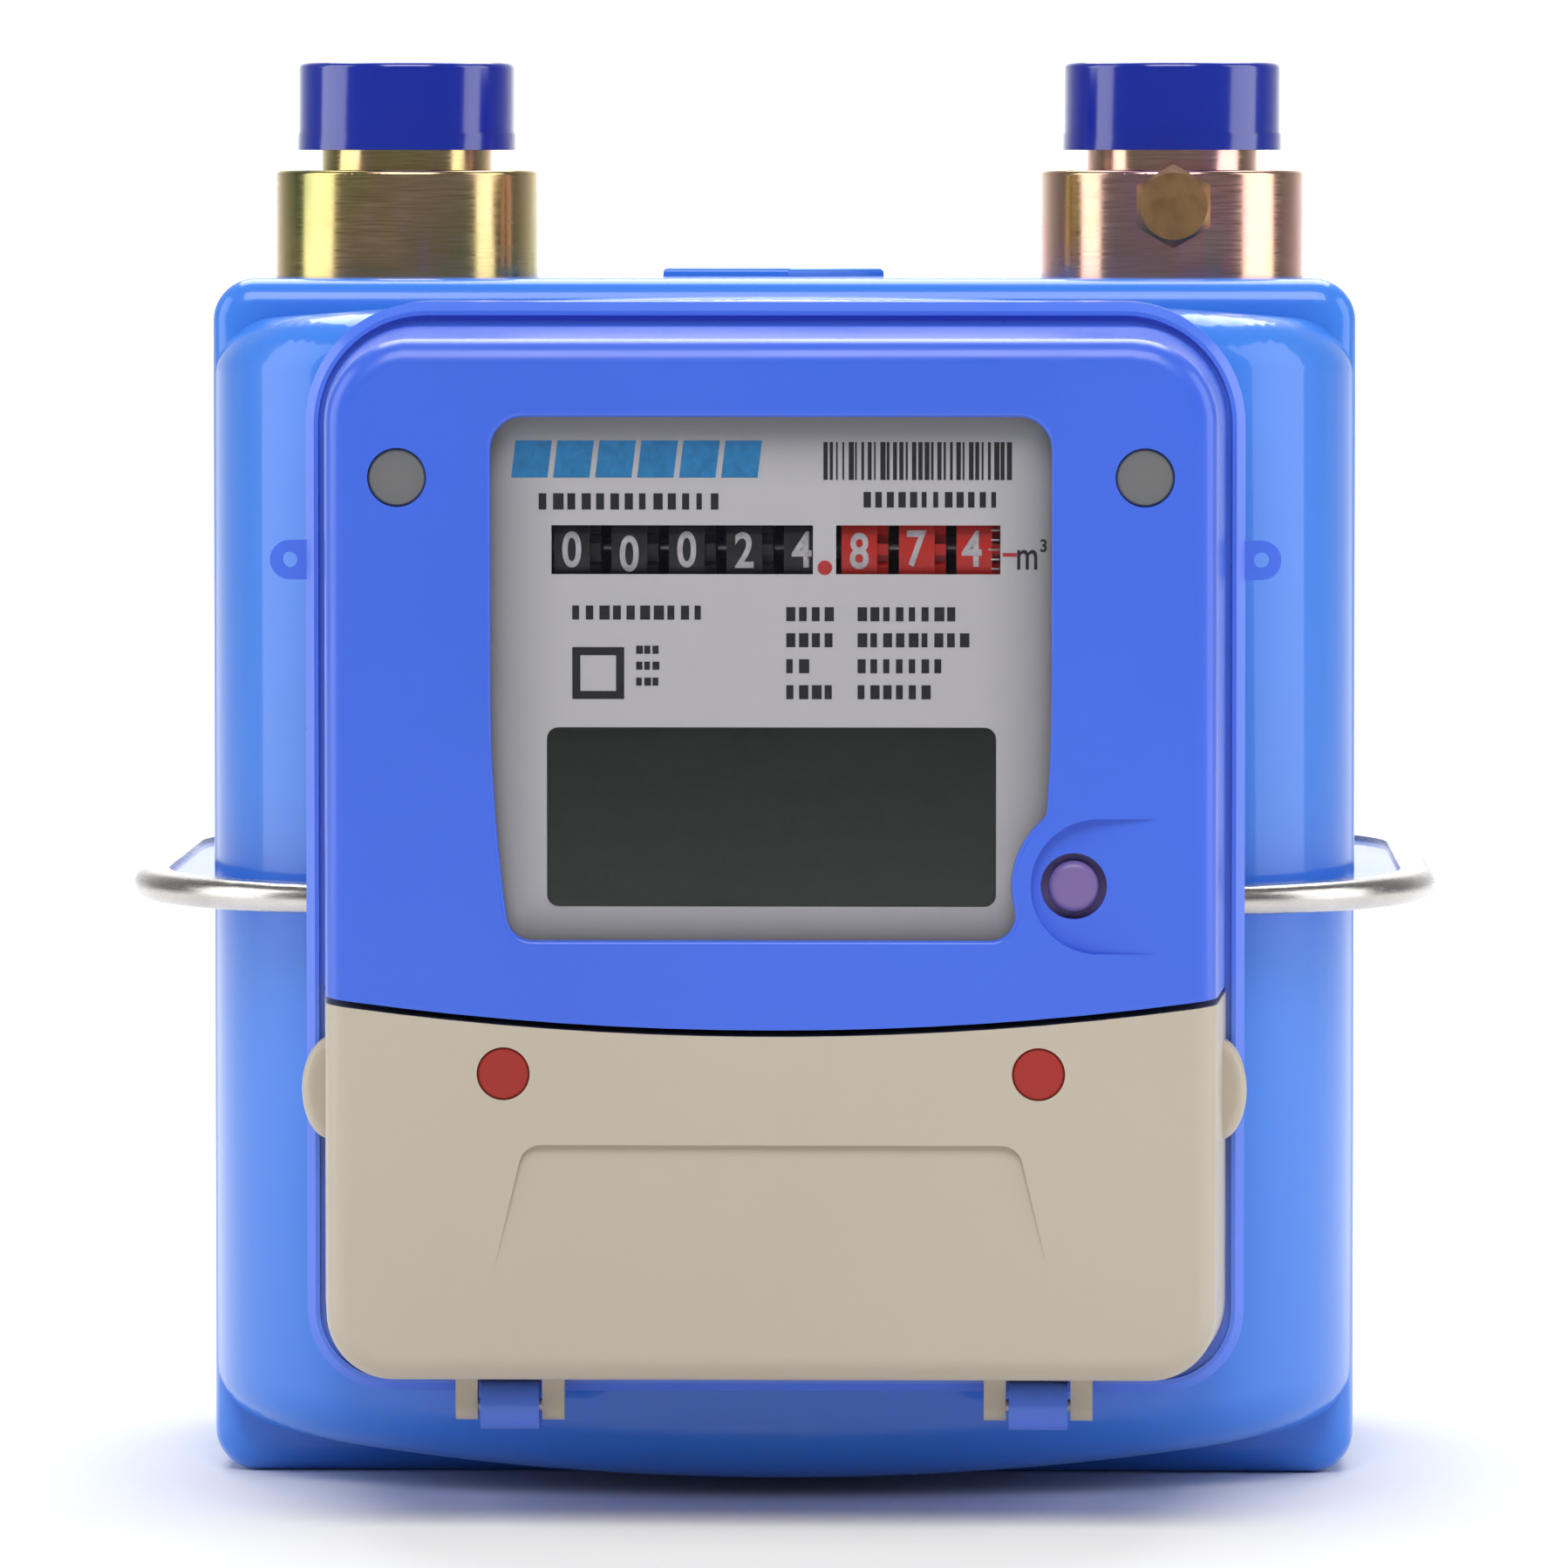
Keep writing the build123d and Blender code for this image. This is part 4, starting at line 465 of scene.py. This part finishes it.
def grow(name, mesh, tree, values, material):
    """Runs a tree on a mesh and keeps the result as a plain object."""
    host = new_object(name + "_seed", mesh, None)
    modifier = host.modifiers.new("Nodes", "NODES")
    modifier.node_group = tree
    sockets = {item.name: item.identifier for item in tree.interface.items_tree if item.in_out == "INPUT"}
    for label, value in values.items():
        modifier[sockets[label]] = value
    bpy.context.view_layer.update()
    evaluated = host.evaluated_get(bpy.context.evaluated_depsgraph_get())
    grown = bpy.data.meshes.new_from_object(evaluated)
    host.modifiers.remove(modifier)
    bpy.data.objects.remove(host)
    return new_object(name, grown, material)


def wheel_tree(material):
    """Turns one tick into a full wheel of them about an axis along X."""
    sockets = [("Count", "NodeSocketInt"), ("Start", "NodeSocketFloat")]
    tree, given, output = new_tree("Wheel of ticks", sockets)
    line = tree.nodes.new("GeometryNodeMeshLine")
    line.inputs["Offset"].default_value = (0, 0, 0)
    tree.links.new(given.outputs["Count"], line.inputs["Count"])
    index = tree.nodes.new("GeometryNodeInputIndex")
    step = tree.nodes.new("ShaderNodeMath")
    step.operation = "DIVIDE"
    step.inputs[0].default_value = 2 * math.pi
    tree.links.new(given.outputs["Count"], step.inputs[1])
    angle = tree.nodes.new("ShaderNodeMath")
    angle.operation = "MULTIPLY_ADD"
    tree.links.new(index.outputs["Index"], angle.inputs[0])
    tree.links.new(step.outputs[0], angle.inputs[1])
    tree.links.new(given.outputs["Start"], angle.inputs[2])
    turn = tree.nodes.new("ShaderNodeCombineXYZ")
    tree.links.new(angle.outputs[0], turn.inputs["X"])
    instances = tree.nodes.new("GeometryNodeInstanceOnPoints")
    tree.links.new(line.outputs["Mesh"], instances.inputs["Points"])
    tree.links.new(given.outputs["Geometry"], instances.inputs["Instance"])
    tree.links.new(turn.outputs["Vector"], instances.inputs["Rotation"])
    finish_tree(tree, instances.outputs["Instances"], output, material)
    return tree


def bar_tree(material):
    """Row of upright printed bars of uneven width, from a single unit bar."""
    tree, given, output = new_tree(
        "Printed bars",
        [
            ("Count", "NodeSocketInt"),
            ("Pitch", "NodeSocketFloat"),
            ("Thinnest", "NodeSocketFloat"),
            ("Widest", "NodeSocketFloat"),
            ("Seed", "NodeSocketInt"),
        ],
    )
    line = tree.nodes.new("GeometryNodeMeshLine")
    tree.links.new(given.outputs["Count"], line.inputs["Count"])
    offset = tree.nodes.new("ShaderNodeCombineXYZ")
    tree.links.new(given.outputs["Pitch"], offset.inputs["X"])
    tree.links.new(offset.outputs["Vector"], line.inputs["Offset"])
    width = tree.nodes.new("FunctionNodeRandomValue")
    for label, socket in (("Thinnest", "Min"), ("Widest", "Max")):
        tree.links.new(given.outputs[label], next(s for s in width.inputs if s.name == socket and s.enabled))
    tree.links.new(given.outputs["Seed"], width.inputs["Seed"])
    size = tree.nodes.new("ShaderNodeCombineXYZ")
    size.inputs["Y"].default_value = 1.0
    size.inputs["Z"].default_value = 1.0
    tree.links.new(next(s for s in width.outputs if s.enabled), size.inputs["X"])
    instances = tree.nodes.new("GeometryNodeInstanceOnPoints")
    tree.links.new(line.outputs["Mesh"], instances.inputs["Points"])
    tree.links.new(given.outputs["Geometry"], instances.inputs["Instance"])
    tree.links.new(size.outputs["Vector"], instances.inputs["Scale"])
    finish_tree(tree, instances.outputs["Instances"], output, material)
    return tree


def box_mesh(name, low, high, bevel=0.0):
    bm = bmesh.new()
    bmesh.ops.create_cube(bm, size=1.0)
    size = [b - a for a, b in zip(low, high)]
    middle = [(a + b) / 2 for a, b in zip(low, high)]
    bmesh.ops.scale(bm, vec=size, verts=bm.verts)
    bmesh.ops.translate(bm, vec=middle, verts=bm.verts)
    if bevel:
        bmesh.ops.bevel(bm, geom=bm.edges[:], offset=bevel, segments=2, profile=0.5, affect="EDGES")
    mesh = bpy.data.meshes.new(name)
    bm.to_mesh(mesh)
    bm.free()
    return mesh


# --- Operators --------------------------------------------------------------------------------------------
class METER_OT_case(bpy.types.Operator):
    """Build the painted case and its clamp band."""

    bl_idname = "meter.case"
    bl_label = "Case and clamp band"

    def execute(self, context):
        finishes = context.scene.meter_finishes
        paint = enamel("Case enamel", finishes.case_paint)
        for node in ("upper_case", "lower_case"):
            refined(node, paint, 24)
        steel = metal("Rolled stainless", (0.60, 0.57, 0.54, 1), 0.24, (1, 1, 14), 420.0, groove=0.08)
        refined("clamp_band", steel, 35)
        rubber = moulded("Gasket rubber", (0.03, 0.03, 0.032, 1), 0.7)
        dress("flange_gasket", rubber)
        dress("connection_seals", rubber)
        return {"FINISHED"}


class METER_OT_connections(bpy.types.Operator):
    """Build the plated connections with their cut threads, the caps and the test plug."""

    bl_idname = "meter.connections"
    bl_label = "Connections, caps and test plug"

    def execute(self, context):
        films = {"inlet_connection": OLIVE_FILM, "outlet_connection": ROSE_FILM}
        pitch, depth = THREAD_PITCH, THREAD_DEPTH
        outer, neck = THREAD_RADIUS, NECK_RADIUS
        for node in films:
            low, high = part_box(node)
            plating = chromate("Chromate of " + node, films[node])
            body_mesh = refined(node, plating, 30).data
            thread_low = high.z - THREAD_LENGTH
            bm = bmesh.new()
            bm.from_mesh(body_mesh)
            everything = bm.verts[:] + bm.edges[:] + bm.faces[:]
            cut_at = (0, 0, thread_low)
            bmesh.ops.bisect_plane(bm, geom=everything, plane_co=cut_at, plane_no=(0, 0, 1), clear_outer=True)
            bmesh.ops.bridge_loops(bm, edges=[e for e in bm.edges if e.is_boundary])
            smooth_by_angle(bm, 30)
            bm.to_mesh(body_mesh)
            bm.free()

            def thread_radius(height, angle):
                turn = (height - thread_low) / pitch - angle / (2 * math.pi)
                ridge = abs((turn % 1.0) * 2 - 1)
                fade = min(1.0, (height - thread_low) / pitch, (high.z - height) / (0.7 * pitch))
                crest = neck + 0.15 * MM + (outer - neck - 0.15 * MM) * max(0.0, fade)
                return max(neck - 0.3 * MM, crest - depth * (1 - min(1.0, ridge * 1.5)) * max(0.2, fade))

            rows = 64
            heights = [thread_low + (high.z - thread_low) * i / rows for i in range(rows + 1)]
            centre = Vector(((low.x + high.x) / 2, (low.y + high.y) / 2, 0))
            thread = lathe(node + "_thread", thread_radius, heights, centre, 96, plating, PORT_RADIUS)
            settle(thread, node, replaces=False)
        cap_plastic = moulded("Cap polythene", context.scene.meter_finishes.cap, 0.16, 0.02, 0.8, spread=0.04)
        for node in ("inlet_cap", "outlet_cap"):
            refined(node, cap_plastic, 32)
        brass = metal("Dull brass", (0.46, 0.26, 0.10, 1), 0.4, (1, 1, 1), 260.0, (0.30, 0.17, 0.07, 1), 0.25)
        refined("test_plug", brass, 20)
        dress("test_plug_washer", metal("Washer metal", (0.55, 0.5, 0.42, 1), 0.4))
        return {"FINISHED"}


class METER_OT_housing(bpy.types.Operator):
    """Build the index housing, its window, display, button and seal plugs."""

    bl_idname = "meter.housing"
    bl_label = "Index housing"

    def execute(self, context):
        finishes = context.scene.meter_finishes
        shell = moulded("Housing plastic", finishes.housing, 0.34, 0.06, 0.25)
        # The tray colour is partly painted light: it is lighter to stand for the light that the rim catches.
        refined("index_tray", moulded("Tray plastic", finishes.tray, 0.3, 0.05, 0.3), 26)
        refined("front_cover", shell, 22)
        refined("window", clear_window("Clear window"), 30)
        # The label ground carries painted shade along the window's edges.
        refined("label_plate", label_ground("Label ground", finishes.label), 30)
        glass = moulded("Display glass", finishes.display, 0.12, 0.0, 0.6, 14.0, spread=0.25)
        refined("lcd_module", glass, 30)
        refined("push_button", moulded("Button plastic", finishes.button, 0.36, 0.04), 30)
        refined("cover_seal_plugs", moulded("Cover seal plastic", finishes.seal_grey, 0.3, 0.1), 30)
        dress("circuit_board", moulded("Board lacquer", (0.012, 0.10, 0.04, 1), 0.35))
        dress("button_spring", metal("Spring steel", (0.6, 0.6, 0.6, 1), 0.25))
        zinc = metal("Zinc plate", (0.58, 0.59, 0.60, 1), 0.32)
        for node in ("cover_screws", "tray_screws", "seat_nuts"):
            dress(node, zinc)
        return {"FINISHED"}


class METER_OT_door(bpy.types.Operator):
    """Build the battery door, its seal plugs and the battery bay."""

    bl_idname = "meter.door"
    bl_label = "Battery door and bay"

    def execute(self, context):
        finishes = context.scene.meter_finishes
        refined("battery_door", moulded("Door plastic", finishes.door, 0.4, 0.1, 0.1, spread=0.04), 22)
        refined("door_seal_plugs", moulded("Door seal plastic", finishes.seal_red, 0.36, 0.12), 30)
        zinc = metal("Door screw zinc", (0.58, 0.59, 0.60, 1), 0.32)
        dress("door_screws", zinc)
        dress("hinge_pins", zinc)
        refined("battery_holder", moulded("Holder plastic", (0.02, 0.02, 0.022, 1), 0.5, 0.1), 25)
        refined("battery_cells", moulded("Cell jacket", (0.02, 0.09, 0.05, 1), 0.25, 0.02, 0.4), 30)
        dress("battery_contacts", metal("Contact nickel", (0.62, 0.58, 0.5, 1), 0.25))
        return {"FINISHED"}


class METER_OT_counter(bpy.types.Operator):
    """Build the number drums with their digits, ticks and carry teeth, and the counter's frame."""

    bl_idname = "meter.counter"
    bl_label = "Counter"

    def execute(self, context):
        settings = context.scene.meter_print
        black = moulded("Drum black", (0.010, 0.010, 0.011, 1), 0.42, 0.05)
        red = moulded("Drum red", (0.52, 0.018, 0.010, 1), 0.4, 0.05)
        ink = printed_ink("Digit white", (0.50, 0.48, 0.51, 1))
        places = BLACK_DRUMS + RED_DRUMS
        reading = (0.0, 0.09, 0.0, 2.01, 4.0, 8.03, 6.98, 3.98)
        for place, shown in zip(places, reading):
            plastic = black if place in BLACK_DRUMS else red
            self.drum(place, shown, plastic, ink, settings)
        dress("counter_frame", black)
        # Painted shade: a black sheet behind the drums stands for the shade between them.
        self.liner(black)
        dress("transfer_pinions", black)
        dress("counter_shaft", metal("Ground steel", (0.5, 0.5, 0.5, 1), 0.3))
        return {"FINISHED"}

    def liner(self, plastic):
        """Folded black screen behind the drums, so that no light shows between them: painted shade, a dark
        sheet that stands for the shade between the drums.
        """
        first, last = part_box("drum_" + BLACK_DRUMS[0]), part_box("drum_" + RED_DRUMS[-1])
        low, high = first[0], last[1]
        back, sheet, lip = high.y + 0.45 * MM, 0.15 * MM, 1.2 * MM
        section = (
            (back, low.z + sheet), (back, high.z - sheet), (back - lip, high.z - sheet), (back - lip, high.z),
            (back + sheet, high.z), (back + sheet, low.z), (back - lip, low.z), (back - lip, low.z + sheet),
        )
        bm = bmesh.new()
        ends = []
        for x in (low.x - 0.3 * MM, high.x + 0.2 * MM):
            ends.append([bm.verts.new((x, y, z)) for y, z in section])
        for step in range(len(section)):
            after = (step + 1) % len(section)
            bm.faces.new((ends[0][step], ends[0][after], ends[1][after], ends[1][step]))
        for end in ends:
            bm.faces.new(end)
        bmesh.ops.recalc_face_normals(bm, faces=bm.faces)
        mesh = bpy.data.meshes.new("drum_shade_sheet")
        bm.to_mesh(mesh)
        bm.free()
        settle(new_object("drum_shade_sheet", mesh, plastic), "counter_frame", replaces=False)

    def drum(self, place, shown, plastic, ink, settings):
        """One drum: the turned body, ten digits round its band, and on the fast one a ring of ticks."""
        node = "drum_" + place
        refined(node, plastic, 30)
        low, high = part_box(node)
        axis = Vector((0, (low.y + high.y) / 2, (low.z + high.z) / 2))
        radius = (high.z - low.z) / 2
        fast = place == RED_DRUMS[-1]
        band_mid = low.x + (FAST_BAND_OFFSET if fast else BAND_OFFSET)
        meshes = []
        for digit in range(10):
            angle = 2 * math.pi * (shown - digit) / 10
            figure = text_mesh(str(digit), settings.digit_height, 0.13 * MM, 0.8)
            meshes.append(self.wrapped(figure, radius, angle, settings))
        digits = join_meshes(node + "_digits", meshes, ink)
        digits.data.transform(Matrix.Translation((band_mid, axis.y, axis.z)))
        settle(digits, node, replaces=False)
        if fast:
            wheel = wheel_tree(ink)
            for name, length, count in (("_ticks", 1.15 * MM, TICKS), ("_long_ticks", 1.5 * MM, TICKS // 5)):
                low_corner = (TICK_END - length, 0, -0.11 * MM)
                high_corner = (TICK_END, 0.02 * MM, 0.11 * MM)
                tick = self.wrapped(box_mesh("tick", low_corner, high_corner), radius, 0, settings)
                ticks = grow(node + name, tick, wheel, {"Count": count, "Start": 0.0}, ink)
                ticks.data.transform(Matrix.Translation((band_mid, axis.y, axis.z)))
                settle(ticks, node, replaces=False)

    def wrapped(self, mesh, radius, angle, settings):
        """Lays a flat figure on a drum of that radius, at that angle above the reading line."""
        bm = bmesh.new()
        bm.from_mesh(mesh)
        for cut in range(-3, 4):
            geometry = bm.verts[:] + bm.edges[:] + bm.faces[:]
            plane = (0, 0, cut * settings.digit_height / 7)
            bmesh.ops.bisect_plane(bm, geom=geometry, plane_co=plane, plane_no=(0, 0, 1))
        for vertex in bm.verts:
            lift = radius + settings.ink_height - vertex.co.y
            around = vertex.co.z / radius - angle
            vertex.co = Vector((vertex.co.x, -lift * math.cos(around), lift * math.sin(around)))
        bm.to_mesh(mesh)
        bm.free()
        return mesh


class METER_OT_label(bpy.types.Operator):
    """Print the label: stripe code, plain bars in place of words, unit sign, point and reading mark."""

    bl_idname = "meter.label"
    bl_label = "Label print"

    def execute(self, context):
        settings = context.scene.meter_print
        black = printed_ink("Label black", (0.012, 0.012, 0.014, 1))
        blue = printed_ink("Label blue", (0.02, 0.22, 0.50, 1))
        red = printed_ink("Label red", (0.50, 0.03, 0.03, 1))
        low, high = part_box("label_plate")
        face = low.y - settings.ink_height
        bars = bar_tree(black)
        code = self.bar_row("stripe_code", bars, black, face, (7.0, 142.3), 5.1, settings.code_bars, 0.85,
                            (0.2, 0.72), settings.seed)
        pieces = [code]
        rows = (
            ("serial_bar", (12.4, 138.6), 2.1, 12, 1.56, (0.55, 1.05), 3),
            ("type_bar", (-31.3, 138.3), 2.2, 13, 1.93, (0.6, 1.45), 5),
            ("date_bar", (-26.8, 123.5), 1.9, 10, 1.83, (0.8, 1.4), 8),
        )
        for name, corner, height, count, pitch, widths, seed in rows:
            pieces.append(self.bar_row(name, bars, black, face, corner, height, count, pitch, widths, seed))
        for line in range(4):
            height = 123.3 - line * 3.5
            counts = ((4, 8), (4, 9), (2, 7), (4, 6))[line]
            for column, (start, count) in enumerate(zip((2.0, 11.6), counts)):
                name = "rating_bar_%d_%d" % (line, column)
                seed = 20 + 5 * line + column
                corner = (start, height)
                row = self.bar_row(name, bars, black, face, corner, 1.9, count, 1.72, (0.8, 1.4), seed)
                pieces.append(row)
        for line in range(3):
            corner = (-18.2, 118.9 - line * 2.15)
            name = "small_bar_%d" % line
            pieces.append(self.bar_row(name, bars, black, face, corner, 1.1, 3, 1.1, (0.7, 0.95), 40 + line))
        for piece in pieces:
            settle(piece, "label_plate", replaces=False)
        title = join_meshes("title_bar", self.title_blocks(face), blue)
        mark = join_meshes("approval_block", self.mark_blocks(face), black)
        point = self.disc("decimal_point", (7.2, 130.5), POINT_RADIUS, face, red)
        tick = new_object(
            "reading_mark",
            box_mesh("tick", (31.1 * MM, face, 132.0 * MM), (33.0 * MM, face + 0.03 * MM, 132.5 * MM)),
            red,
        )
        sign = text_mesh("m", 4.1 * MM, 0.05 * MM, 0.72)
        sign.transform(Matrix.Translation((34.4 * MM, face, 131.6 * MM)))
        power = text_mesh("3", 1.7 * MM, 0.05 * MM, 0.9)
        power.transform(Matrix.Translation((36.6 * MM, face, 133.5 * MM)))
        unit_sign = join_meshes("unit_sign", [sign, power], black)
        for piece in (title, mark, point, tick, unit_sign):
            settle(piece, "label_plate", replaces=False)
        return {"FINISHED"}

    def bar_row(self, name, tree, ink, face, corner, height, count, pitch, widths, seed):
        x, z = corner
        unit_bar = box_mesh("bar", (0, face, z * MM), (1.0, face + PRINT_DEPTH, (z + height) * MM), 0.0)
        values = {
            "Count": count,
            "Pitch": pitch * MM,
            "Thinnest": widths[0] * MM,
            "Widest": widths[1] * MM,
            "Seed": seed,
        }
        row = grow(name, unit_bar, tree, values, ink)
        row.data.transform(Matrix.Translation((x * MM, 0, 0)))
        return row

    def title_blocks(self, face):
        """A plain band of slanted blocks where a name would be."""
        blocks = []
        for index in range(6):
            start = -35.0 + index * 5.65
            low = (start * MM, face, 142.6 * MM)
            high = ((start + 4.9) * MM, face + PRINT_DEPTH, 147.6 * MM)
            mesh = box_mesh("block", low, high)
            for vertex in mesh.vertices:
                vertex.co.x += (vertex.co.z - 142.6 * MM) * 0.12
            blocks.append(mesh)
        return blocks

    def mark_blocks(self, face):
        """A plain square frame where an approval mark would be."""
        low_x, low_z, size, edge = -26.8, 112.8, 7.0, 1.1
        spans = (
            ((low_x, low_z), (low_x + size, low_z + edge)),
            ((low_x, low_z + size - edge), (low_x + size, low_z + size)),
            ((low_x, low_z + edge), (low_x + edge, low_z + size - edge)),
            ((low_x + size - edge, low_z + edge), (low_x + size, low_z + size - edge)),
        )
        return [
            box_mesh("mark", (x0 * MM, face, z0 * MM), (x1 * MM, face + PRINT_DEPTH, z1 * MM))
            for (x0, z0), (x1, z1) in spans
        ]

    def disc(self, name, centre, radius, face, ink):
        bm = bmesh.new()
        bmesh.ops.create_cone(
            bm, cap_ends=True, segments=40, radius1=radius, radius2=radius, depth=PRINT_DEPTH
        )
        bmesh.ops.rotate(bm, verts=bm.verts, matrix=Matrix.Rotation(math.pi / 2, 3, "X"))
        bmesh.ops.translate(bm, verts=bm.verts, vec=(centre[0] * MM, face + PRINT_DEPTH / 2, centre[1] * MM))
        mesh = bpy.data.meshes.new(name)
        bm.to_mesh(mesh)
        bm.free()
        return new_object(name, mesh, ink)


class METER_OT_measuring_unit(bpy.types.Operator):
    """Finish the sealed measuring unit and its drive."""

    bl_idname = "meter.measuring_unit"
    bl_label = "Measuring unit"

    def execute(self, context):
        unit = moulded("Unit plastic", (0.26, 0.27, 0.29, 1), 0.5, 0.1)
        steel = metal("Unit steel", (0.52, 0.52, 0.53, 1), 0.32)
        tin = metal("Tinned plate", (0.66, 0.66, 0.66, 1), 0.28)
        resin = moulded("Valve resin", (0.06, 0.04, 0.03, 1), 0.3)
        acetal = moulded("Acetal", (0.68, 0.66, 0.6, 1), 0.4)
        cloth = moulded("Rubbered cloth", (0.05, 0.045, 0.04, 1), 0.75, 0.3, 0.0, 40.0)
        brass = metal("Turned brass", (0.55, 0.38, 0.14, 1), 0.28)
        groups = (
            (unit, ("chamber_body", "chamber_covers", "distributor", "outlet_duct", "crank_bracket")),
            (steel, ("index_drive_shaft", "crank_shaft", "front_flag", "rear_flag")),
            (tin, ("front_diaphragm_plate", "rear_diaphragm_plate")),
            (resin, ("valve_grids", "front_slide_valve", "rear_slide_valve")),
            (acetal, ("index_worm", "front_tangent_link", "rear_tangent_link")),
            (cloth, ("diaphragms",)),
            (brass, ("index_gland",)),
        )
        for material, nodes in groups:
            for node in nodes:
                dress(node, material)
        return {"FINISHED"}


class METER_OT_stage(bpy.types.Operator):
    """Set the floor, the lights and the camera."""

    bl_idname = "meter.stage"
    bl_label = "Stage"

    def execute(self, context):
        stage = context.scene.meter_stage
        self.floor()
        self.world(context.scene)
        self.lights(stage.light)
        self.camera(context.scene, stage)
        context.scene.view_settings.view_transform = "Standard"
        return {"FINISHED"}

    def floor(self):
        """Seamless pale sweep: floor, round bend and back wall."""
        material, tree, principled, place = shader("Paper sweep")
        stops = [(0.3, (0.88, 0.88, 0.88, 1)), (0.7, (0.9, 0.9, 0.9, 1))]
        tone = ramp(tree, noise(tree, place, 3.0, 2.0), stops)
        tree.links.new(tone, principled.inputs["Base Color"])
        principled.inputs["Roughness"].default_value = 0.9
        bm = bmesh.new()
        profile = [Vector((0, -3.0, 0)), Vector((0, 1.2, 0))]
        for step in range(1, 13):
            angle = math.pi / 2 * step / 12
            profile.append(Vector((0, 1.2 + 0.8 * math.sin(angle), 0.8 - 0.8 * math.cos(angle))))
        profile.append(Vector((0, 2.0, 3.0)))
        rows = [[bm.verts.new((x, p.y, p.z)) for x in (-4.0, 4.0)] for p in profile]
        for near, far in zip(rows, rows[1:]):
            bm.faces.new((near[0], near[1], far[1], far[0])).smooth = True
        mesh = bpy.data.meshes.new("paper_sweep")
        bm.to_mesh(mesh)
        bm.free()
        new_object("paper_sweep", mesh, material)

    def world(self, scene):
        world = bpy.data.worlds.new("Studio")
        world.use_nodes = True
        background = world.node_tree.nodes["Background"]
        background.inputs["Color"].default_value = (0.9, 0.94, 1.0, 1)
        background.inputs["Strength"].default_value = 0.17
        scene.world = world

    def area(self, name, place, target, size, power, height=None):
        light = bpy.data.lights.new(name, "AREA")
        light.shape = "RECTANGLE"
        light.size = size
        light.size_y = height if height else size
        light.energy = power
        holder = bpy.data.objects.new(name, light)
        holder.location = place
        direction = Vector(target) - Vector(place)
        holder.rotation_euler = direction.to_track_quat("-Z", "Y").to_euler()
        bpy.context.scene.collection.objects.link(holder)

    def lights(self, power):
        self.area("left_box", (-1.29, -0.18, 0.5), (0, 0, 0.1), 0.84, power, 1.2)
        self.area("right_box", (1.29, -0.18, 0.5), (0, 0, 0.1), 0.84, power, 1.2)
        self.area("front_box", (0, -1.15, 1.35), (0, 0, 0.08), 1.3, power * 2.9, 0.9)
        self.area("back_wash", (0, 0.95, 1.25), (0, 0.95, 0.0), 1.2, power * 3.6, 1.3)

    def camera(self, scene, stage):
        data = bpy.data.cameras.new("camera")
        data.lens = stage.lens
        data.sensor_width = 36.0
        holder = bpy.data.objects.new("camera", data)
        side = stage.distance * math.tan(stage.azimuth) - 0.75 * MM
        holder.location = (side, -stage.distance, stage.height)
        holder.rotation_euler = (math.pi / 2 - stage.pitch, 0, stage.azimuth)
        scene.collection.objects.link(holder)
        scene.camera = holder


class METER_PT_panel(bpy.types.Panel):
    """Sidebar panel that lists the meter's operators and settings."""

    bl_idname = "METER_PT_panel"
    bl_label = "Gas meter"
    bl_space_type = "VIEW_3D"
    bl_region_type = "UI"
    bl_category = "Gas meter"

    def draw(self, context):
        layout = self.layout
        for operator in OPERATORS:
            layout.operator(operator.bl_idname)
        for group in (context.scene.meter_finishes, context.scene.meter_print, context.scene.meter_stage):
            for name in group.__annotations__:
                layout.prop(group, name)


OPERATORS = (
    METER_OT_case,
    METER_OT_connections,
    METER_OT_housing,
    METER_OT_door,
    METER_OT_counter,
    METER_OT_label,
    METER_OT_measuring_unit,
    METER_OT_stage,
)
CLASSES = (MeterFinishes, MeterPrint, MeterStage) + OPERATORS + (METER_PT_panel,)


def register():
    for cls in CLASSES:
        bpy.utils.register_class(cls)
    bpy.types.Scene.meter_finishes = PointerProperty(type=MeterFinishes)
    bpy.types.Scene.meter_print = PointerProperty(type=MeterPrint)
    bpy.types.Scene.meter_stage = PointerProperty(type=MeterStage)


def unregister():
    del bpy.types.Scene.meter_stage
    del bpy.types.Scene.meter_print
    del bpy.types.Scene.meter_finishes
    for cls in reversed(CLASSES):
        bpy.utils.unregister_class(cls)


def main():
    register()
    bpy.ops.meter.case()
    bpy.ops.meter.connections()
    bpy.ops.meter.housing()
    bpy.ops.meter.door()
    bpy.ops.meter.counter()
    bpy.ops.meter.label()
    bpy.ops.meter.measuring_unit()
    bpy.ops.meter.stage()


if __name__ == "__main__":
    main()
